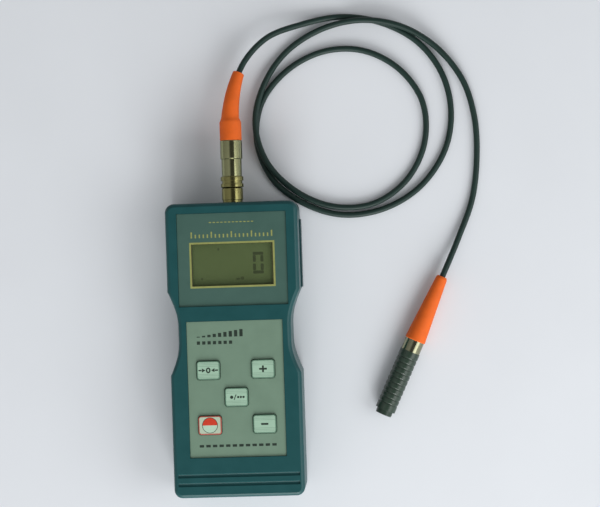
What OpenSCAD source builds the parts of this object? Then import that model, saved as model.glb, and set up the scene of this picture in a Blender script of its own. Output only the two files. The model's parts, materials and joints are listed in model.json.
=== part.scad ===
// Hand-held coating thickness gauge lying on its back, with its probe on a plug-in lead.
// Millimetres. X runs across the housing, Y towards the socket, Z out of the front face.
// The origin is the centre of the back face.

/* [Housing] */
// Length of the housing
body_l = 154; // [148:1:160]
// Width across the head
head_w = 69.4; // [67:0.2:72]
// Width across the waist
waist_w = 59; // [57:0.5:62]
// Width across the grip
grip_w = 68.5; // [65:0.5:70]
// Thickness from the back to the front face
body_t = 32; // [31:0.5:35]
// Side wall of both shells
wall = 2.2; // [2:0.1:2.6]
// Wall behind the front face
front_wall = 2.6; // [2.4:0.1:3]
// Wall of the back
back_wall = 2; // [1.8:0.1:2.4]
// Rounding of the front edges
front_edge_r = 2.4; // [1.6:0.1:3]
// Rounding of the back edges
back_edge_r = 3; // [2:0.1:3.6]
// Corner radius of the head in plan
head_corner_r = 4.6; // [3.6:0.2:6]
// Corner radius of the grip in plan
grip_corner_r = 4.4; // [3.6:0.2:7]
// Straight length of the head's sides
head_l = 46; // [42:1:50]
// Length over which the head narrows to the waist
shoulder_l = 18; // [14:1:20]
// Straight length of the waist
waist_l = 9; // [4:1:12]
// Length over which the waist widens to the grip
hip_l = 17; // [12:1:20]
// Chamfer along the seam between the shells
seam = 0.35; // [0.2:0.05:0.6]
// Width of each groove across the foot of the front face
groove_w = 2.2; // [1.6:0.1:2.6]
// Depth of those grooves
groove_depth = 0.8; // [0.4:0.1:1.0]
// Distance of the lower groove from the bottom end
groove_gap = 7.2; // [5.6:0.2:8]
// Distance between the two grooves
groove_pitch = 4.6; // [3.6:0.2:6]
// Length of the cover plate on the right side of the head
side_cover_l = 36; // [30:1:38]
// Height of that cover plate
side_cover_h = 10.5; // [8:0.5:11]
// How far that cover plate stands out of the side wall
side_cover_out = 0.8; // [0.8:0.1:2]

/* [Front panels] */
// Width of the display panel
header_w = 57; // [54:0.5:60]
// Height of the display panel
header_h = 48.4; // [46:0.2:50]
// Distance from the top end to the display panel
header_gap = 5.5; // [4:0.1:6]
// Width of the key panel
keypad_w = 50.2; // [48:0.2:52]
// Gap between the display panel and the key panel
panel_gap = 8; // [6.5:0.5:12]
// Distance from the bottom end to the key panel
keypad_gap = 21.1; // [18:0.1:22]
// Depth of the pockets that hold the panels
pocket_depth = 1.3; // [1.1:0.1:1.5]
// Thickness of the panels
plate_t = 0.6; // [0.4:0.1:0.8]
// Width of the display window
window_w = 41.8; // [40:0.2:43]
// Height of the display window
window_h = 21.6; // [20:0.2:23]
// Distance from the top of the display panel to the middle of its window
window_drop = 27; // [25:0.5:28]

/* [Keys] */
// Width of a key
key_w = 12.2; // [11:0.2:13]
// Height of a key
key_h = 9.8; // [9:0.2:10.4]
// Corner radius of a key
key_r = 1.5; // [0.8:0.1:2]
// Gap round a key
key_gap = 0.3; // [0.2:0.05:0.5]
// How far a key stands above its panel
key_proud = 1; // [0.8:0.1:1.4]
// Travel of a key
key_travel = 0.5; // [0.3:0.1:0.6]
// Distance of the outer keys from the centre line
key_column = 14.3; // [12.6:0.1:15]
// Distance from one row of keys to the next
key_row = 14.35; // [13.4:0.05:15]
// Distance from the bottom of the key panel to the last row
key_foot = 16.9; // [12:0.1:20]

/* [Display and board] */
// Width of the display cell
lcd_w = 48; // [47:0.5:50]
// Height of the display cell
lcd_h = 28; // [27:0.5:29]
// Thickness of the display cell
lcd_t = 2.8; // [2:0.1:3]
// Wall of the frame round the display cell
lcd_frame_wall = 1.9; // [1.2:0.1:2.2]
// Depth of the board below the inside of the front
board_depth = 7.8; // [7.4:0.1:8.4]
// Thickness of the board
board_t = 1.6; // [1:0.1:1.8]
// Side of a key switch
switch_w = 6; // [5:0.5:7]

/* [Power] */
// Diameter of a battery cell
cell_d = 10.5; // [10:0.1:10.7]
// Length of a battery cell with its button
cell_l = 44.5; // [43:0.5:45]
// Distance from one cell to the next
cell_pitch = 10.9; // [10.8:0.1:11.2]
// Length of a contact spring in use
spring_l = 5.5; // [4.5:0.1:6]
// Thickness of the battery cover
cover_t = 2.2; // [2:0.1:2.4]

/* [Connector] */
// Diameter of the socket outside the housing
socket_d = 11.3; // [10.6:0.1:12]
// How far the socket stands out of the housing
socket_out = 8; // [8:0.5:11]
// Diameter of the plug's nose
nose_d = 8.4; // [8:0.1:8.8]
// Length of the nose inside the socket
nose_l = 6; // [5:0.5:6.5]
// Diameter of the plug's grip ring
ring_d = 12.1; // [11.6:0.1:13]
// Length of the grip ring
ring_l = 6; // [5:0.5:7]
// Diameter of the plug's sleeve
sleeve_d = 10.7; // [10.2:0.1:11]
// Length of the sleeve
sleeve_l = 9; // [8:0.5:11]
// Diameter of the plug's back barrel
barrel_d = 11.7; // [11.4:0.1:12.4]
// Length of the back barrel
barrel_l = 10; // [8.5:0.5:12]
// Diameter of the foot of the plug's boot
boot_d = 11.6; // [11:0.1:12.4]
// Straight length of that foot
boot_foot_l = 9.5; // [9:0.5:14]
// Diameter of the boot above its shoulder
boot_neck_d = 9.5; // [8.6:0.1:10.2]
// Diameter of the boot at the cord
boot_tip_d = 6.2; // [5.6:0.1:7]
// Number of contacts in the connector
contacts = 5; // [3:1:6]

/* [Lead and probe] */
// Diameter of the cord
cord_d = 3.2; // [2.8:0.1:3.4]
// Diameter of the probe's boot where it meets the tube
probe_boot_d = 11.2; // [11:0.1:12]
// Length of the probe's boot
probe_boot_l = 37; // [34:0.5:42]
// Diameter of the tube between the boot and the grip
tube_d = 10.4; // [10.2:0.1:10.8]
// Length of that tube in view
tube_l = 6.4; // [5:0.2:8]
// Diameter of the probe's grip over its ribs
probe_grip_d = 10.9; // [10.8:0.1:11]
// Length of the probe's grip
probe_grip_l = 34; // [32:0.5:37]
// Distance from one rib of the grip to the next
rib_pitch = 2.9; // [2.4:0.1:3.4]
// Depth of the grooves between the ribs
rib_depth = 0.3; // [0.2:0.05:0.45]
// Diameter of the plunger at the probe's tip
plunger_d = 8.8; // [8.4:0.1:8.9]
// How far the plunger stands out of the grip
plunger_out = 2.6; // [2.2:0.1:3.4]
// Travel of the plunger
plunger_travel = 2; // [1.5:0.1:2]
// Wire of the plunger's spring
plunger_wire = 0.7; // [0.5:0.05:0.8]

/* [Hidden] */
$fn = 48;
TEAL = [0.14, 0.31, 0.31];
DARK_TEAL = [0.09, 0.24, 0.25];
HEADER_GREY = [0.26, 0.39, 0.35];
KEYPAD_GREY = [0.44, 0.54, 0.46];
KEY_PALE = [0.62, 0.73, 0.63];
LCD_OLIVE = [0.32, 0.37, 0.25];
ORANGE = [0.8, 0.37, 0.14];
NICKEL = [0.6, 0.6, 0.5];
CORD_BLACK = [0.15, 0.2, 0.18];
BOARD_GREEN = [0.1, 0.4, 0.2];
COPPER = [0.72, 0.42, 0.2];

// Clearance of pieces that are laid into one another
fit = 0.15;
// Radial clearance of pieces that slide
slide = 0.1;
// How far a cutting shape runs past the face that it cuts
cut = 1;
// How far a post sinks into the wall that it grows from
root = 0.5;

// Levels of the housing
part_z = body_t / 2;
front_in = body_t - front_wall;
pocket_z = body_t - pocket_depth;
plate_top = pocket_z + plate_t;
board_top = front_in - board_depth;
board_z = board_top - board_t;

// Lines along the length of the housing
top_y = body_l / 2;
bottom_y = -body_l / 2;
head_y = top_y - head_l;
waist_top_y = head_y - shoulder_l;
waist_bottom_y = waist_top_y - waist_l;
grip_y = waist_bottom_y - hip_l;
header_top = top_y - header_gap;
window_y = header_top - window_drop;
header_bottom = header_top - header_h;
keypad_y = bottom_y + keypad_gap;
keypad_top = header_bottom - panel_gap;

// Where the two halves and the board are screwed together
screw_inset = 6;
case_screws = [
    for (s = [-1, 1])
        for (end = [[head_w, top_y - 7.4], [grip_w, bottom_y + 7.4]])
            [s * (end[0] / 2 - screw_inset), end[1]]
];
case_post_d = 6.4;
case_bore_d = 3.2;
case_head_d = 5.6;
case_head_h = 2.4;
case_thread_d = 2.6;
case_thread_l = 8;
board_post_d = 5.4;
board_thread_d = 2;
board_head_d = 3.8;
board_head_h = 1.4;
board_lower_w = 50;
board_screws = [
    for (s = [-1, 1])
        for (y = [(header_bottom + keypad_top) / 2, keypad_y + 2.2])
            [s * (board_lower_w / 2 - 3.4), y]
];

// Rows and columns of the keys
KEY_NAMES = ["zero", "plus", "mode", "power", "minus"];
last_row = keypad_y + key_foot;
key_places = [
    [-key_column, last_row + 2 * key_row],
    [key_column, last_row + 2 * key_row],
    [0, last_row + key_row],
    [-key_column, last_row],
    [key_column, last_row]
];
key_top = plate_top + key_proud;
key_lip = 1.1;
key_lip_t = 1;
key_stem_d = 4;
switch_body_h = 3.5;
switch_button_d = 3.4;
switch_button_h = 1.4;
switch_top = board_top + switch_body_h + switch_button_h;
key_stem_end = switch_top + key_travel + slide;

// Display stack
lens_t = 1.2;
lens_rim = 2;
lcd_top = front_in - 2 * slide;
strip_w = 2.4;
board_upper_w = 58;
board_upper_top = window_y + lcd_h / 2 + lcd_frame_wall + 2;
board_upper_bottom = window_y - lcd_h / 2 - lcd_frame_wall - 4;

// Battery bay
CELLS = 4;
plate_contact_t = 0.4;
bay_wall = 2.9;
bay_roof = 1.6;
bay_w = (CELLS - 1) * cell_pitch + cell_d + 3 * fit;
bay_l = cell_l + spring_l + 2 * plate_contact_t;
bay_y = bottom_y + wall + 1.2;
cell_z = cover_t + 2 * fit + cell_d / 2;
bay_top = cell_z + cell_d / 2 + 2 * fit;
button_d = 5.5;
button_l = 1;
cover_lift = 0.15;
cover_lip = 0.9;
cover_tongue = 1.4;
cover_slope = fit;
cover_top_y = bay_y + bay_l + 2.6;
tab_w = 2.6;
spring_wire = 0.6;

// Connector, along Y from the top end of the housing
socket_foot_l = 1.6;
socket_foot_d = socket_d - 0.7;
thread_d = 9;
thread_l = 10;
nut_w = 12;
nut_l = 2.8;
socket_bore_d = nose_d + 2 * slide;
insert_d = 6.9;
mouth_y = top_y + socket_out;
nose_y = mouth_y - nose_l;
ring_y = mouth_y + fit;
sleeve_y = ring_y + ring_l;
barrel_y = sleeve_y + sleeve_l;
boot_y = barrel_y + barrel_l;
nose_wall = 0.7;
plug_core_d = 9.2;
plug_thread_l = 6;
contact_d = 0.9;
contact_ring_d = 4;
contact_reach = 3.6;

// The plug's boot bends to the right and droops a little under the cord
boot_sides = 24;
boot_shoulder_l = 2.6;
boot_bend_y = boot_y + boot_foot_l + boot_shoulder_l;
boot_bend = [[0, boot_bend_y, part_z], [0.9, boot_bend_y + 12.6, part_z], [5, boot_bend_y + 23.6, part_z - 2.6]];
boot_tip = boot_bend[2];
boot_tip_dir = unit(boot_bend[2] - boot_bend[1]);
boot_rings = 12;

// Probe, laid down along its own axis from the cord's end of its boot
probe_turn = 25;
probe_end = [110, 34.3, probe_boot_d / 2];
probe_axis = [sin(probe_turn), cos(probe_turn), 0];
plunger_l = plunger_out + 3.6;
grip_start = plunger_out;
grip_end = grip_start + probe_grip_l;
tube_end = grip_end + tube_l;
probe_l = tube_end + probe_boot_l;
plunger_bore_d = plunger_d + 2 * slide;
inner_d = plunger_bore_d + 0.6;
collar_d = inner_d - 2 * slide;
collar_l = 1.6;
stem_d = 6;
stem_l = 6;
spring_room = 8;
tube_front = plunger_l + collar_l + spring_room;
tube_spigot_l = 9;
tube_spigot_d = 8.4;
tube_bore_d = stem_d + 4 * slide;
coil_d = 5.2;
coil_l = 7;
core_d = 2;
vee_w = 2.4;

// Route of the cord, laid over the table in two loose turns before it reaches the probe
cord_z = cord_d / 2 + 0.1;
cord_steps = 2;
cord_sides = 8;
route = [
    boot_tip,
    [18.8, 163.9, 8.2],
    [38.6, 171.9, 3.8],
    [60.5, 175.5, 1.8],
    [82, 171.5, cord_z],
    [101, 160.5, cord_z],
    [113.5, 143, cord_z],
    [117.7, 122, cord_z],
    [113.3, 101.1, cord_z],
    [100, 83, cord_z],
    [81, 72, cord_z],
    [59.5, 69, cord_z],
    [39.2, 74.9, cord_z],
    [21.5, 88.5, cord_z],
    [13, 109, cord_z],
    [16, 130.5, cord_z],
    [30, 147.5, cord_z],
    [50, 157.2, cord_z],
    [71.5, 157, cord_z],
    [90.5, 146.5, cord_z],
    [102.5, 128.5, cord_z],
    [103, 106.5, cord_z],
    [93, 87, cord_z],
    [75, 74.8, cord_z],
    [53.6, 73.7, cord_z],
    [33.8, 82.2, 2.1],
    [18.5, 98, 4.8],
    [12.5, 119, 5.1],
    [17.5, 139.7, 4.1],
    [30, 157.5, 1.8],
    [49, 169, 2.5],
    [70.5, 173, 4.8],
    [92, 169, 4.9],
    [110.5, 157.5, 2.8],
    [124, 140, 1.7],
    [130, 119.5, cord_z],
    [130.6, 97.5, cord_z],
    [127.5, 75.5, 1.8],
    [119.5, 55, 3],
    probe_end
];

// Unit vector along v
function unit(v) = v / norm(v);

// Point at the share t between p1 and p2, on a curve that runs smoothly through all four points
function between(p0, p1, p2, p3, t) =
    0.5 * (2 * p1 + (p2 - p0) * t + (2 * p0 - 5 * p1 + 4 * p2 - p3) * t * t
        + (3 * p1 - p0 - 3 * p2 + p3) * t * t * t);

// Smooth curve through the points, which leaves the first and reaches the last in given directions
function smooth(points, first_dir, last_dir, steps) =
    let (
        n = len(points),
        before = points[1] - 2 * norm(points[1] - points[0]) * first_dir,
        after = points[n - 2] + 2 * norm(points[n - 1] - points[n - 2]) * last_dir,
        all = concat([before], points, [after])
    )
    concat(
        [for (i = [0 : n - 2], s = [0 : steps - 1])
            between(all[i], all[i + 1], all[i + 2], all[i + 3], s / steps)],
        [points[n - 1]]
    );

// Half the width of the housing at y
function half_width(y) =
    y >= head_y ? head_w / 2
    : y >= waist_top_y ? head_w / 2 - (head_w - waist_w) / 2 * sin(90 * (head_y - y) / shoulder_l)
    : y >= waist_bottom_y ? waist_w / 2
    : y >= grip_y ? grip_w / 2 - (grip_w - waist_w) / 2 * cos(90 * (waist_bottom_y - y) / hip_l)
    : grip_w / 2;

// Right side of the housing's outline, moved inwards, from the bottom end to the top end
FLANK_STEPS = 6;
CORNER_STEP = 15;
function right_side(inset) =
    let (foot_r = grip_corner_r - inset, top_r = head_corner_r - inset)
    concat(
        [for (a = [-90 : CORNER_STEP : 0])
            [grip_w / 2 - grip_corner_r + foot_r * cos(a), bottom_y + grip_corner_r + foot_r * sin(a)]],
        [for (i = [0 : FLANK_STEPS])
            let (y = grip_y + hip_l * i / FLANK_STEPS) [half_width(y) - inset, y]],
        [for (i = [0 : FLANK_STEPS])
            let (y = waist_top_y + shoulder_l * i / FLANK_STEPS) [half_width(y) - inset, y]],
        [for (a = [0 : CORNER_STEP : 90])
            [head_w / 2 - head_corner_r + top_r * cos(a), top_y - head_corner_r + top_r * sin(a)]]
    );

// Whole outline of the housing, moved inwards
function outline(inset) =
    let (right = right_side(inset), n = len(right))
    concat(right, [for (i = [n - 1 : -1 : 0]) [-right[i].x, right[i].y]]);

// Levels [z, inset] of an edge rounded by r that rises to top, running on past it
EDGE_STEP = 15;
EDGE_LAST = 75;
function rounded_edge(top, r) =
    let (rise = r * (1 - sin(EDGE_LAST)) + cut)
    concat(
        [for (a = [0 : EDGE_STEP : EDGE_LAST]) [top - r + r * sin(a), r * (1 - cos(a))]],
        [[top + cut, r * (1 - cos(EDGE_LAST)) + min(rise * tan(EDGE_LAST), r / 2)]]
    );

// Solid through the housing's outline at the levels [z, inset]
module loft(levels) {
    rings = [for (l = levels) [for (p = outline(l[1])) [p.x, p.y, l[0]]]];
    n = len(rings[0]);
    last = len(rings) - 1;
    polyhedron(
        points = [for (ring = rings) each ring],
        faces = concat(
            [[for (k = [0 : n - 1]) k]],
            [for (i = [0 : last - 1], k = [0 : n - 1])
                let (a = i * n + k, b = i * n + (k + 1) % n)
                each [[a, a + n, b + n], [a, b + n, b]]],
            [[for (k = [n - 1 : -1 : 0]) last * n + k]]
        )
    );
}

// Round tube along a path, with a radius at each of its points
module sweep(path, radii, sides, first_dir, last_dir) {
    last = len(path) - 1;
    points = [
        for (i = [0 : last])
            let (
                along = i == 0 ? first_dir : i == last ? last_dir : unit(path[i + 1] - path[i - 1]),
                side = unit(cross(along, [0, 0, 1])),
                up = cross(side, along)
            )
            for (k = [0 : sides - 1])
                path[i] + radii[i] * (cos(360 * k / sides) * side + sin(360 * k / sides) * up)
    ];
    polyhedron(
        points = points,
        faces = concat(
            [[for (k = [sides - 1 : -1 : 0]) k]],
            [for (i = [0 : last - 1], k = [0 : sides - 1])
                let (a = i * sides + k, b = i * sides + (k + 1) % sides)
                each [[a, b, b + sides], [a, b + sides, a + sides]]],
            [[for (k = [0 : sides - 1]) last * sides + k]]
        )
    );
}

// Coil of round wire that stands on z = 0, with the mean diameters of its two ends
COIL_STEPS = 12;
COIL_SIDES = 6;
module coil_spring(first_d, last_d, height, turns, wire) {
    n = turns * COIL_STEPS;
    path = [
        for (i = [0 : n])
            let (a = 360 * i / COIL_STEPS, r = (first_d + (last_d - first_d) * i / n) / 2)
            [r * cos(a), r * sin(a), wire / 2 + (height - wire) * i / n]
    ];
    sweep(path, [for (p = path) wire / 2], COIL_SIDES, [0, 1, 0], [0, 1, 0]);
}

// Rectangle with round corners, about the origin
module rounded_rect(w, h, r) {
    square([w - 2 * r, h], center = true);
    square([w, h - 2 * r], center = true);
    for (x = [-1, 1], y = [-1, 1])
        translate([x * (w / 2 - r), y * (h / 2 - r)]) circle(r);
}

// Block from low to high
module block(low, high) {
    translate(low) cube(high - low);
}

// Turned piece on the connector's axis, from points [y, radius]
module turned(points) {
    translate([0, 0, part_z]) rotate([-90, 0, 0]) rotate_extrude() polygon([for (p = points) [p[1], p[0]]]);
}

// Cylinder on the connector's axis, between two places along Y
module round_bar(y0, y1, d) {
    translate([0, y0, part_z]) rotate([-90, 0, 0]) cylinder(d = d, h = y1 - y0);
}

// Places of the contacts round the connector's axis
module each_contact() {
    for (i = [0 : contacts - 1]) {
        a = 360 * i / contacts;
        translate([contact_ring_d / 2 * sin(a), 0, contact_ring_d / 2 * cos(a)]) children();
    }
}

// Frame of the probe: its axis along Z, from its tip towards the cord
module in_probe() {
    translate(probe_end - probe_l * probe_axis) rotate([0, 0, 90 - probe_turn]) rotate([0, 90, 0]) children();
}

// Outer form of the front half
module front_form() {
    difference() {
        loft(concat([[part_z - cut, seam + cut], [part_z + seam, 0]], rounded_edge(body_t, front_edge_r)));
        block([-head_w, -body_l, body_t], [head_w, body_l, body_t + 2 * cut]);
        block([-head_w, -body_l, part_z - 2 * cut], [head_w, body_l, part_z]);
    }
}

// Outer form of the back half
module rear_form() {
    difference() {
        mirror([0, 0, 1])
            loft(concat([[-part_z - cut, seam + cut], [seam - part_z, 0]], rounded_edge(0, back_edge_r)));
        block([-head_w, -body_l, -2 * cut], [head_w, body_l, 0]);
        block([-head_w, -body_l, part_z], [head_w, body_l, part_z + 2 * cut]);
    }
}

module front_shell() {
    color(TEAL) difference() {
        union() {
            difference() {
                front_form();
                translate([0, 0, part_z - cut]) linear_extrude(front_in - part_z + cut) polygon(outline(wall));
            }
            for (p = case_screws)
                translate([p.x, p.y, part_z]) cylinder(d = case_post_d, h = front_in - part_z + root);
            for (p = board_screws)
                translate([p.x, p.y, board_top]) cylinder(d = board_post_d, h = front_in - board_top + root);
        }
        panel_pocket(header_w, header_bottom, header_top);
        panel_pocket(keypad_w, keypad_y, keypad_top);
        translate([0, window_y, front_in - cut])
            linear_extrude(pocket_z - front_in + 2 * cut)
                square([window_w + 2 * lens_rim + 2 * fit, window_h + 2 * lens_rim + 2 * fit], center = true);
        for (p = key_places)
            translate([p.x, p.y, front_in - cut])
                linear_extrude(front_wall + cut)
                    rounded_rect(key_w + 2 * key_gap, key_h + 2 * key_gap, key_r + key_gap);
        for (i = [0, 1])
            front_groove(bottom_y + groove_gap + i * groove_pitch);
        for (p = case_screws)
            translate([p.x, p.y, part_z - cut]) cylinder(d = case_thread_d + 2 * slide, h = case_thread_l + cut);
        for (p = board_screws)
            translate([p.x, p.y, board_top - cut])
                cylinder(d = board_thread_d + 2 * slide, h = front_in - board_top);
        socket_hole();
    }
}

// Pocket in the front face for a panel
module panel_pocket(w, y0, y1) {
    block([-w / 2 - fit, y0 - fit, pocket_z], [w / 2 + fit, y1 + fit, body_t + cut]);
}

// Round-bottomed groove across the front face
module front_groove(y) {
    r = (groove_w * groove_w / 4 + groove_depth * groove_depth) / (2 * groove_depth);
    length = grip_w - 2 * front_edge_r;
    translate([-length / 2, y, body_t - groove_depth + r]) rotate([0, 90, 0]) cylinder(r = r, h = length);
}

// Hole for the socket through the top end
module socket_hole() {
    round_bar(top_y - wall - cut, top_y + cut, thread_d + 2 * fit);
}

module rear_shell() {
    color(TEAL) difference() {
        union() {
            difference() {
                rear_form();
                translate([0, 0, back_wall]) linear_extrude(part_z) polygon(outline(wall));
            }
            block([-bay_w / 2 - bay_wall, bay_y - bay_wall, back_wall - root],
                [bay_w / 2 + bay_wall, cover_top_y + bay_wall, bay_top + bay_roof]);
            for (p = case_screws)
                translate([p.x, p.y, back_wall - root]) cylinder(d = case_post_d, h = part_z - back_wall + root);
        }
        block([-bay_w / 2, bay_y, -cut], [bay_w / 2, bay_y + bay_l, bay_top]);
        block([-bay_w / 2 - fit, bottom_y - cut, -cut], [bay_w / 2 + fit, cover_top_y + fit, cover_lip + fit]);
        block([-bay_w / 2 - cover_tongue - fit, bottom_y - cut, cover_lip],
            [bay_w / 2 + cover_tongue + fit, cover_top_y + fit, cover_t + fit]);
        for (s = [-1, 1])
            translate([s * outer_cell_x, 0, 0])
                block([-tab_w / 2 - fit, bay_y - fit, bay_top - cut],
                    [tab_w / 2 + fit, bay_y + plate_contact_t + fit, bay_top + bay_roof + cut]);
        for (p = case_screws) {
            translate([p.x, p.y, -cut]) cylinder(d = case_bore_d, h = part_z + 2 * cut);
            translate([p.x, p.y, -cut]) cylinder(d = case_head_d + 2 * fit, h = cut + screw_seat_z);
        }
        socket_hole();
        side_cover_block(fit);
    }
}

// Middle of the outermost cells, and the depth at which the screw heads sit
outer_cell_x = (CELLS - 1) / 2 * cell_pitch;
screw_seat_z = 5;

// Plate on the right side of the head, let into the wall by half the wall
side_cover_y = top_y - 9.6;
module side_cover_block(gap) {
    x = head_w / 2 - wall / 2 - gap;
    z = (part_z - side_cover_h) / 2 + 0.4;
    block([x, side_cover_y - side_cover_l - gap, z - gap],
        [head_w / 2 + side_cover_out, side_cover_y + gap, z + side_cover_h + gap]);
}

module side_cover() {
    color(DARK_TEAL) side_cover_block(0);
}

module battery_cover() {
    color(TEAL) difference() {
        intersection() {
            rear_form();
            union() {
                block([-bay_w / 2, bottom_y - cut, cover_lift], [bay_w / 2, cover_top_y, cover_t]);
                block([-bay_w / 2 - cover_tongue, bottom_y - cut, cover_lip + fit],
                    [bay_w / 2 + cover_tongue, cover_top_y, cover_t]);
            }
        }
        for (i = [0 : 4])
            translate([-bay_w / 4, cover_top_y - 6 - 2.2 * i, cover_lift - 0.3])
                rotate([0, 90, 0]) cylinder(r = 0.8, h = bay_w / 2);
    }
}

module housing_screws() {
    color(NICKEL) for (p = case_screws)
        translate([p.x, p.y, screw_seat_z]) {
            difference() {
                translate([0, 0, -case_head_h]) cylinder(d = case_head_d, h = case_head_h);
                cross_slot(case_head_h);
            }
            cylinder(d = case_thread_d, h = part_z - screw_seat_z + case_thread_l - root);
        }
}

// Cross recess in a screw head that faces down
module cross_slot(head_h) {
    for (a = [0, 90])
        rotate([0, 0, a]) block([-1.5, -0.35, -head_h - cut], [1.5, 0.35, -head_h + 0.9]);
}

module header_plate() {
    color(HEADER_GREY) difference() {
        block([-header_w / 2, header_bottom, pocket_z], [header_w / 2, header_top, plate_top]);
        block([-window_w / 2, window_y - window_h / 2, pocket_z - cut],
            [window_w / 2, window_y + window_h / 2, plate_top + cut]);
    }
}

module display_window() {
    color("white", 0.35)
        block([-window_w / 2 - lens_rim, window_y - window_h / 2 - lens_rim, pocket_z - lens_t],
            [window_w / 2 + lens_rim, window_y + window_h / 2 + lens_rim, pocket_z]);
}

module keypad_plate() {
    color(KEYPAD_GREY) difference() {
        block([-keypad_w / 2, keypad_y, pocket_z], [keypad_w / 2, keypad_top, plate_top]);
        for (p = key_places)
            translate([p.x, p.y, pocket_z - cut])
                linear_extrude(plate_t + 2 * cut)
                    rounded_rect(key_w + 2 * key_gap, key_h + 2 * key_gap, key_r + key_gap);
    }
}

// One key: its cap in the panel, the lip that holds it in and the stem over its switch
module key(i) {
    lip_top = front_in - slide;
    color(KEY_PALE) translate([key_places[i].x, key_places[i].y, 0]) {
        translate([0, 0, lip_top - key_lip_t])
            linear_extrude(key_top - lip_top + key_lip_t) rounded_rect(key_w, key_h, key_r);
        translate([0, 0, lip_top - key_lip_t])
            linear_extrude(key_lip_t) rounded_rect(key_w + 2 * key_lip, key_h + 2 * key_lip, key_r);
        translate([0, 0, key_stem_end]) cylinder(d = key_stem_d, h = lip_top - key_stem_end - key_lip_t / 2);
    }
}

// Push switch on the board under a key
module switch(i) {
    color([0.2, 0.2, 0.2]) translate([key_places[i].x, key_places[i].y, board_top]) {
        block([-switch_w / 2, -switch_w / 2, 0], [switch_w / 2, switch_w / 2, switch_body_h]);
        cylinder(d = switch_button_d, h = switch_body_h + switch_button_h);
    }
}

module lcd_panel() {
    color(LCD_OLIVE)
        block([-lcd_w / 2, window_y - lcd_h / 2, lcd_top - lcd_t], [lcd_w / 2, window_y + lcd_h / 2, lcd_top]);
}

module lcd_frame() {
    color([0.1, 0.1, 0.1]) difference() {
        block([-lcd_w / 2 - lcd_frame_wall, window_y - lcd_h / 2 - lcd_frame_wall, board_top],
            [lcd_w / 2 + lcd_frame_wall, window_y + lcd_h / 2 + lcd_frame_wall, lcd_top]);
        block([-lcd_w / 2 - slide, window_y - lcd_h / 2 - slide, board_top - cut],
            [lcd_w / 2 + slide, window_y + lcd_h / 2 + slide, lcd_top + cut]);
    }
}

// Rubber strip that joins one edge of the display to the board
module lcd_strip(side) {
    y = window_y + side * (lcd_h - strip_w) / 2;
    color([0.75, 0.75, 0.7])
        block([1 - lcd_w / 2, y - strip_w / 2, board_top], [lcd_w / 2 - 1, y + strip_w / 2, lcd_top - lcd_t]);
}

module circuit_board() {
    color(BOARD_GREEN) difference() {
        union() {
            block([-board_lower_w / 2, keypad_y - 2, board_z], [board_lower_w / 2, board_upper_top, board_top]);
            block([-board_upper_w / 2, board_upper_bottom, board_z],
                [board_upper_w / 2, board_upper_top, board_top]);
        }
        for (p = board_screws)
            translate([p.x, p.y, board_z - cut]) cylinder(d = board_thread_d + 2 * fit, h = board_t + 2 * cut);
    }
}

// Component on the back of the board, with its middle at x and y
module on_board_back(x, y, size) {
    block([x - size.x / 2, y - size.y / 2, board_z - size.z], [x + size.x / 2, y + size.y / 2, board_z]);
}

module processor_chip() {
    color([0.12, 0.12, 0.12]) on_board_back(0, window_y, [14, 14, 2]);
}

module amplifier_chip() {
    color([0.12, 0.12, 0.12]) on_board_back(0, keypad_top - 12, [9, 6, 1.6]);
}

module crystal() {
    color("silver") on_board_back(14, window_y, [4, 11, 2.4]);
}

module board_screws_set() {
    color(NICKEL) for (p = board_screws)
        translate([p.x, p.y, board_z]) {
            difference() {
                translate([0, 0, -board_head_h]) cylinder(d = board_head_d, h = board_head_h);
                cross_slot(board_head_h);
            }
            cylinder(d = board_thread_d, h = board_t + front_in - board_top - cut - root);
        }
}

// Direction in which a cell's button points: +1 towards the socket
function cell_way(i) = i % 2 == 0 ? 1 : -1;
function cell_x(i) = i * cell_pitch - outer_cell_x;

// Battery cell, its button against one plate and its flat end on a spring
module battery_cell(i) {
    way = cell_way(i);
    y = way > 0 ? bay_y + plate_contact_t + spring_l : bay_y + bay_l - plate_contact_t - spring_l;
    color("dimgray") translate([cell_x(i), y, cell_z]) rotate([-90 * way, 0, 0]) {
        cylinder(d = cell_d, h = cell_l - button_l);
        cylinder(d = button_d, h = cell_l);
    }
}

module battery_springs() {
    color("silver") for (i = [0 : CELLS - 1]) {
        way = cell_way(i);
        y = way > 0 ? bay_y + plate_contact_t : bay_y + bay_l - plate_contact_t;
        translate([cell_x(i), y, cell_z]) rotate([-90 * way, 0, 0])
            coil_spring(cell_d - 3, cell_d - 5.5, spring_l, 4, spring_wire);
    }
}

module contact_plates() {
    half = cell_pitch / 2 - 0.6;
    low = cover_t + 2 * fit;
    far = bay_y + bay_l;
    color("silver") {
        for (s = [-1, 1]) {
            block([s * cell_pitch - cell_pitch / 2 - half, far - plate_contact_t, low],
                [s * cell_pitch + cell_pitch / 2 + half, far, bay_top - fit]);
            translate([s * outer_cell_x, 0, 0]) {
                block([-half, bay_y, low], [half, bay_y + plate_contact_t, bay_top - fit]);
                block([-tab_w / 2, bay_y, bay_top - fit - root],
                    [tab_w / 2, bay_y + plate_contact_t, bay_top + bay_roof + 1]);
            }
        }
        block([-cell_pitch / 2 - half, bay_y, low], [cell_pitch / 2 + half, bay_y + plate_contact_t, bay_top - fit]);
    }
}

// Wire under the board, from a point to the board's back face
WIRE_D = 1.1;
WIRE_SIDES = 8;
module wire(from, to) {
    lift = (board_z - WIRE_D / 2 - 0.05) - from.z;
    path = smooth(
        [from, [from.x, (2 * from.y + to.y) / 3, from.z + lift / 4], [to.x, (from.y + 2 * to.y) / 3, from.z + 3 * lift / 4],
            [to.x, to.y, from.z + lift]],
        [0, sign(to.y - from.y), 0], [0, sign(to.y - from.y), 0], 3);
    way = [0, sign(to.y - from.y), 0];
    sweep(path, [for (p = path) WIRE_D / 2], WIRE_SIDES, way, way);
}

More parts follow.
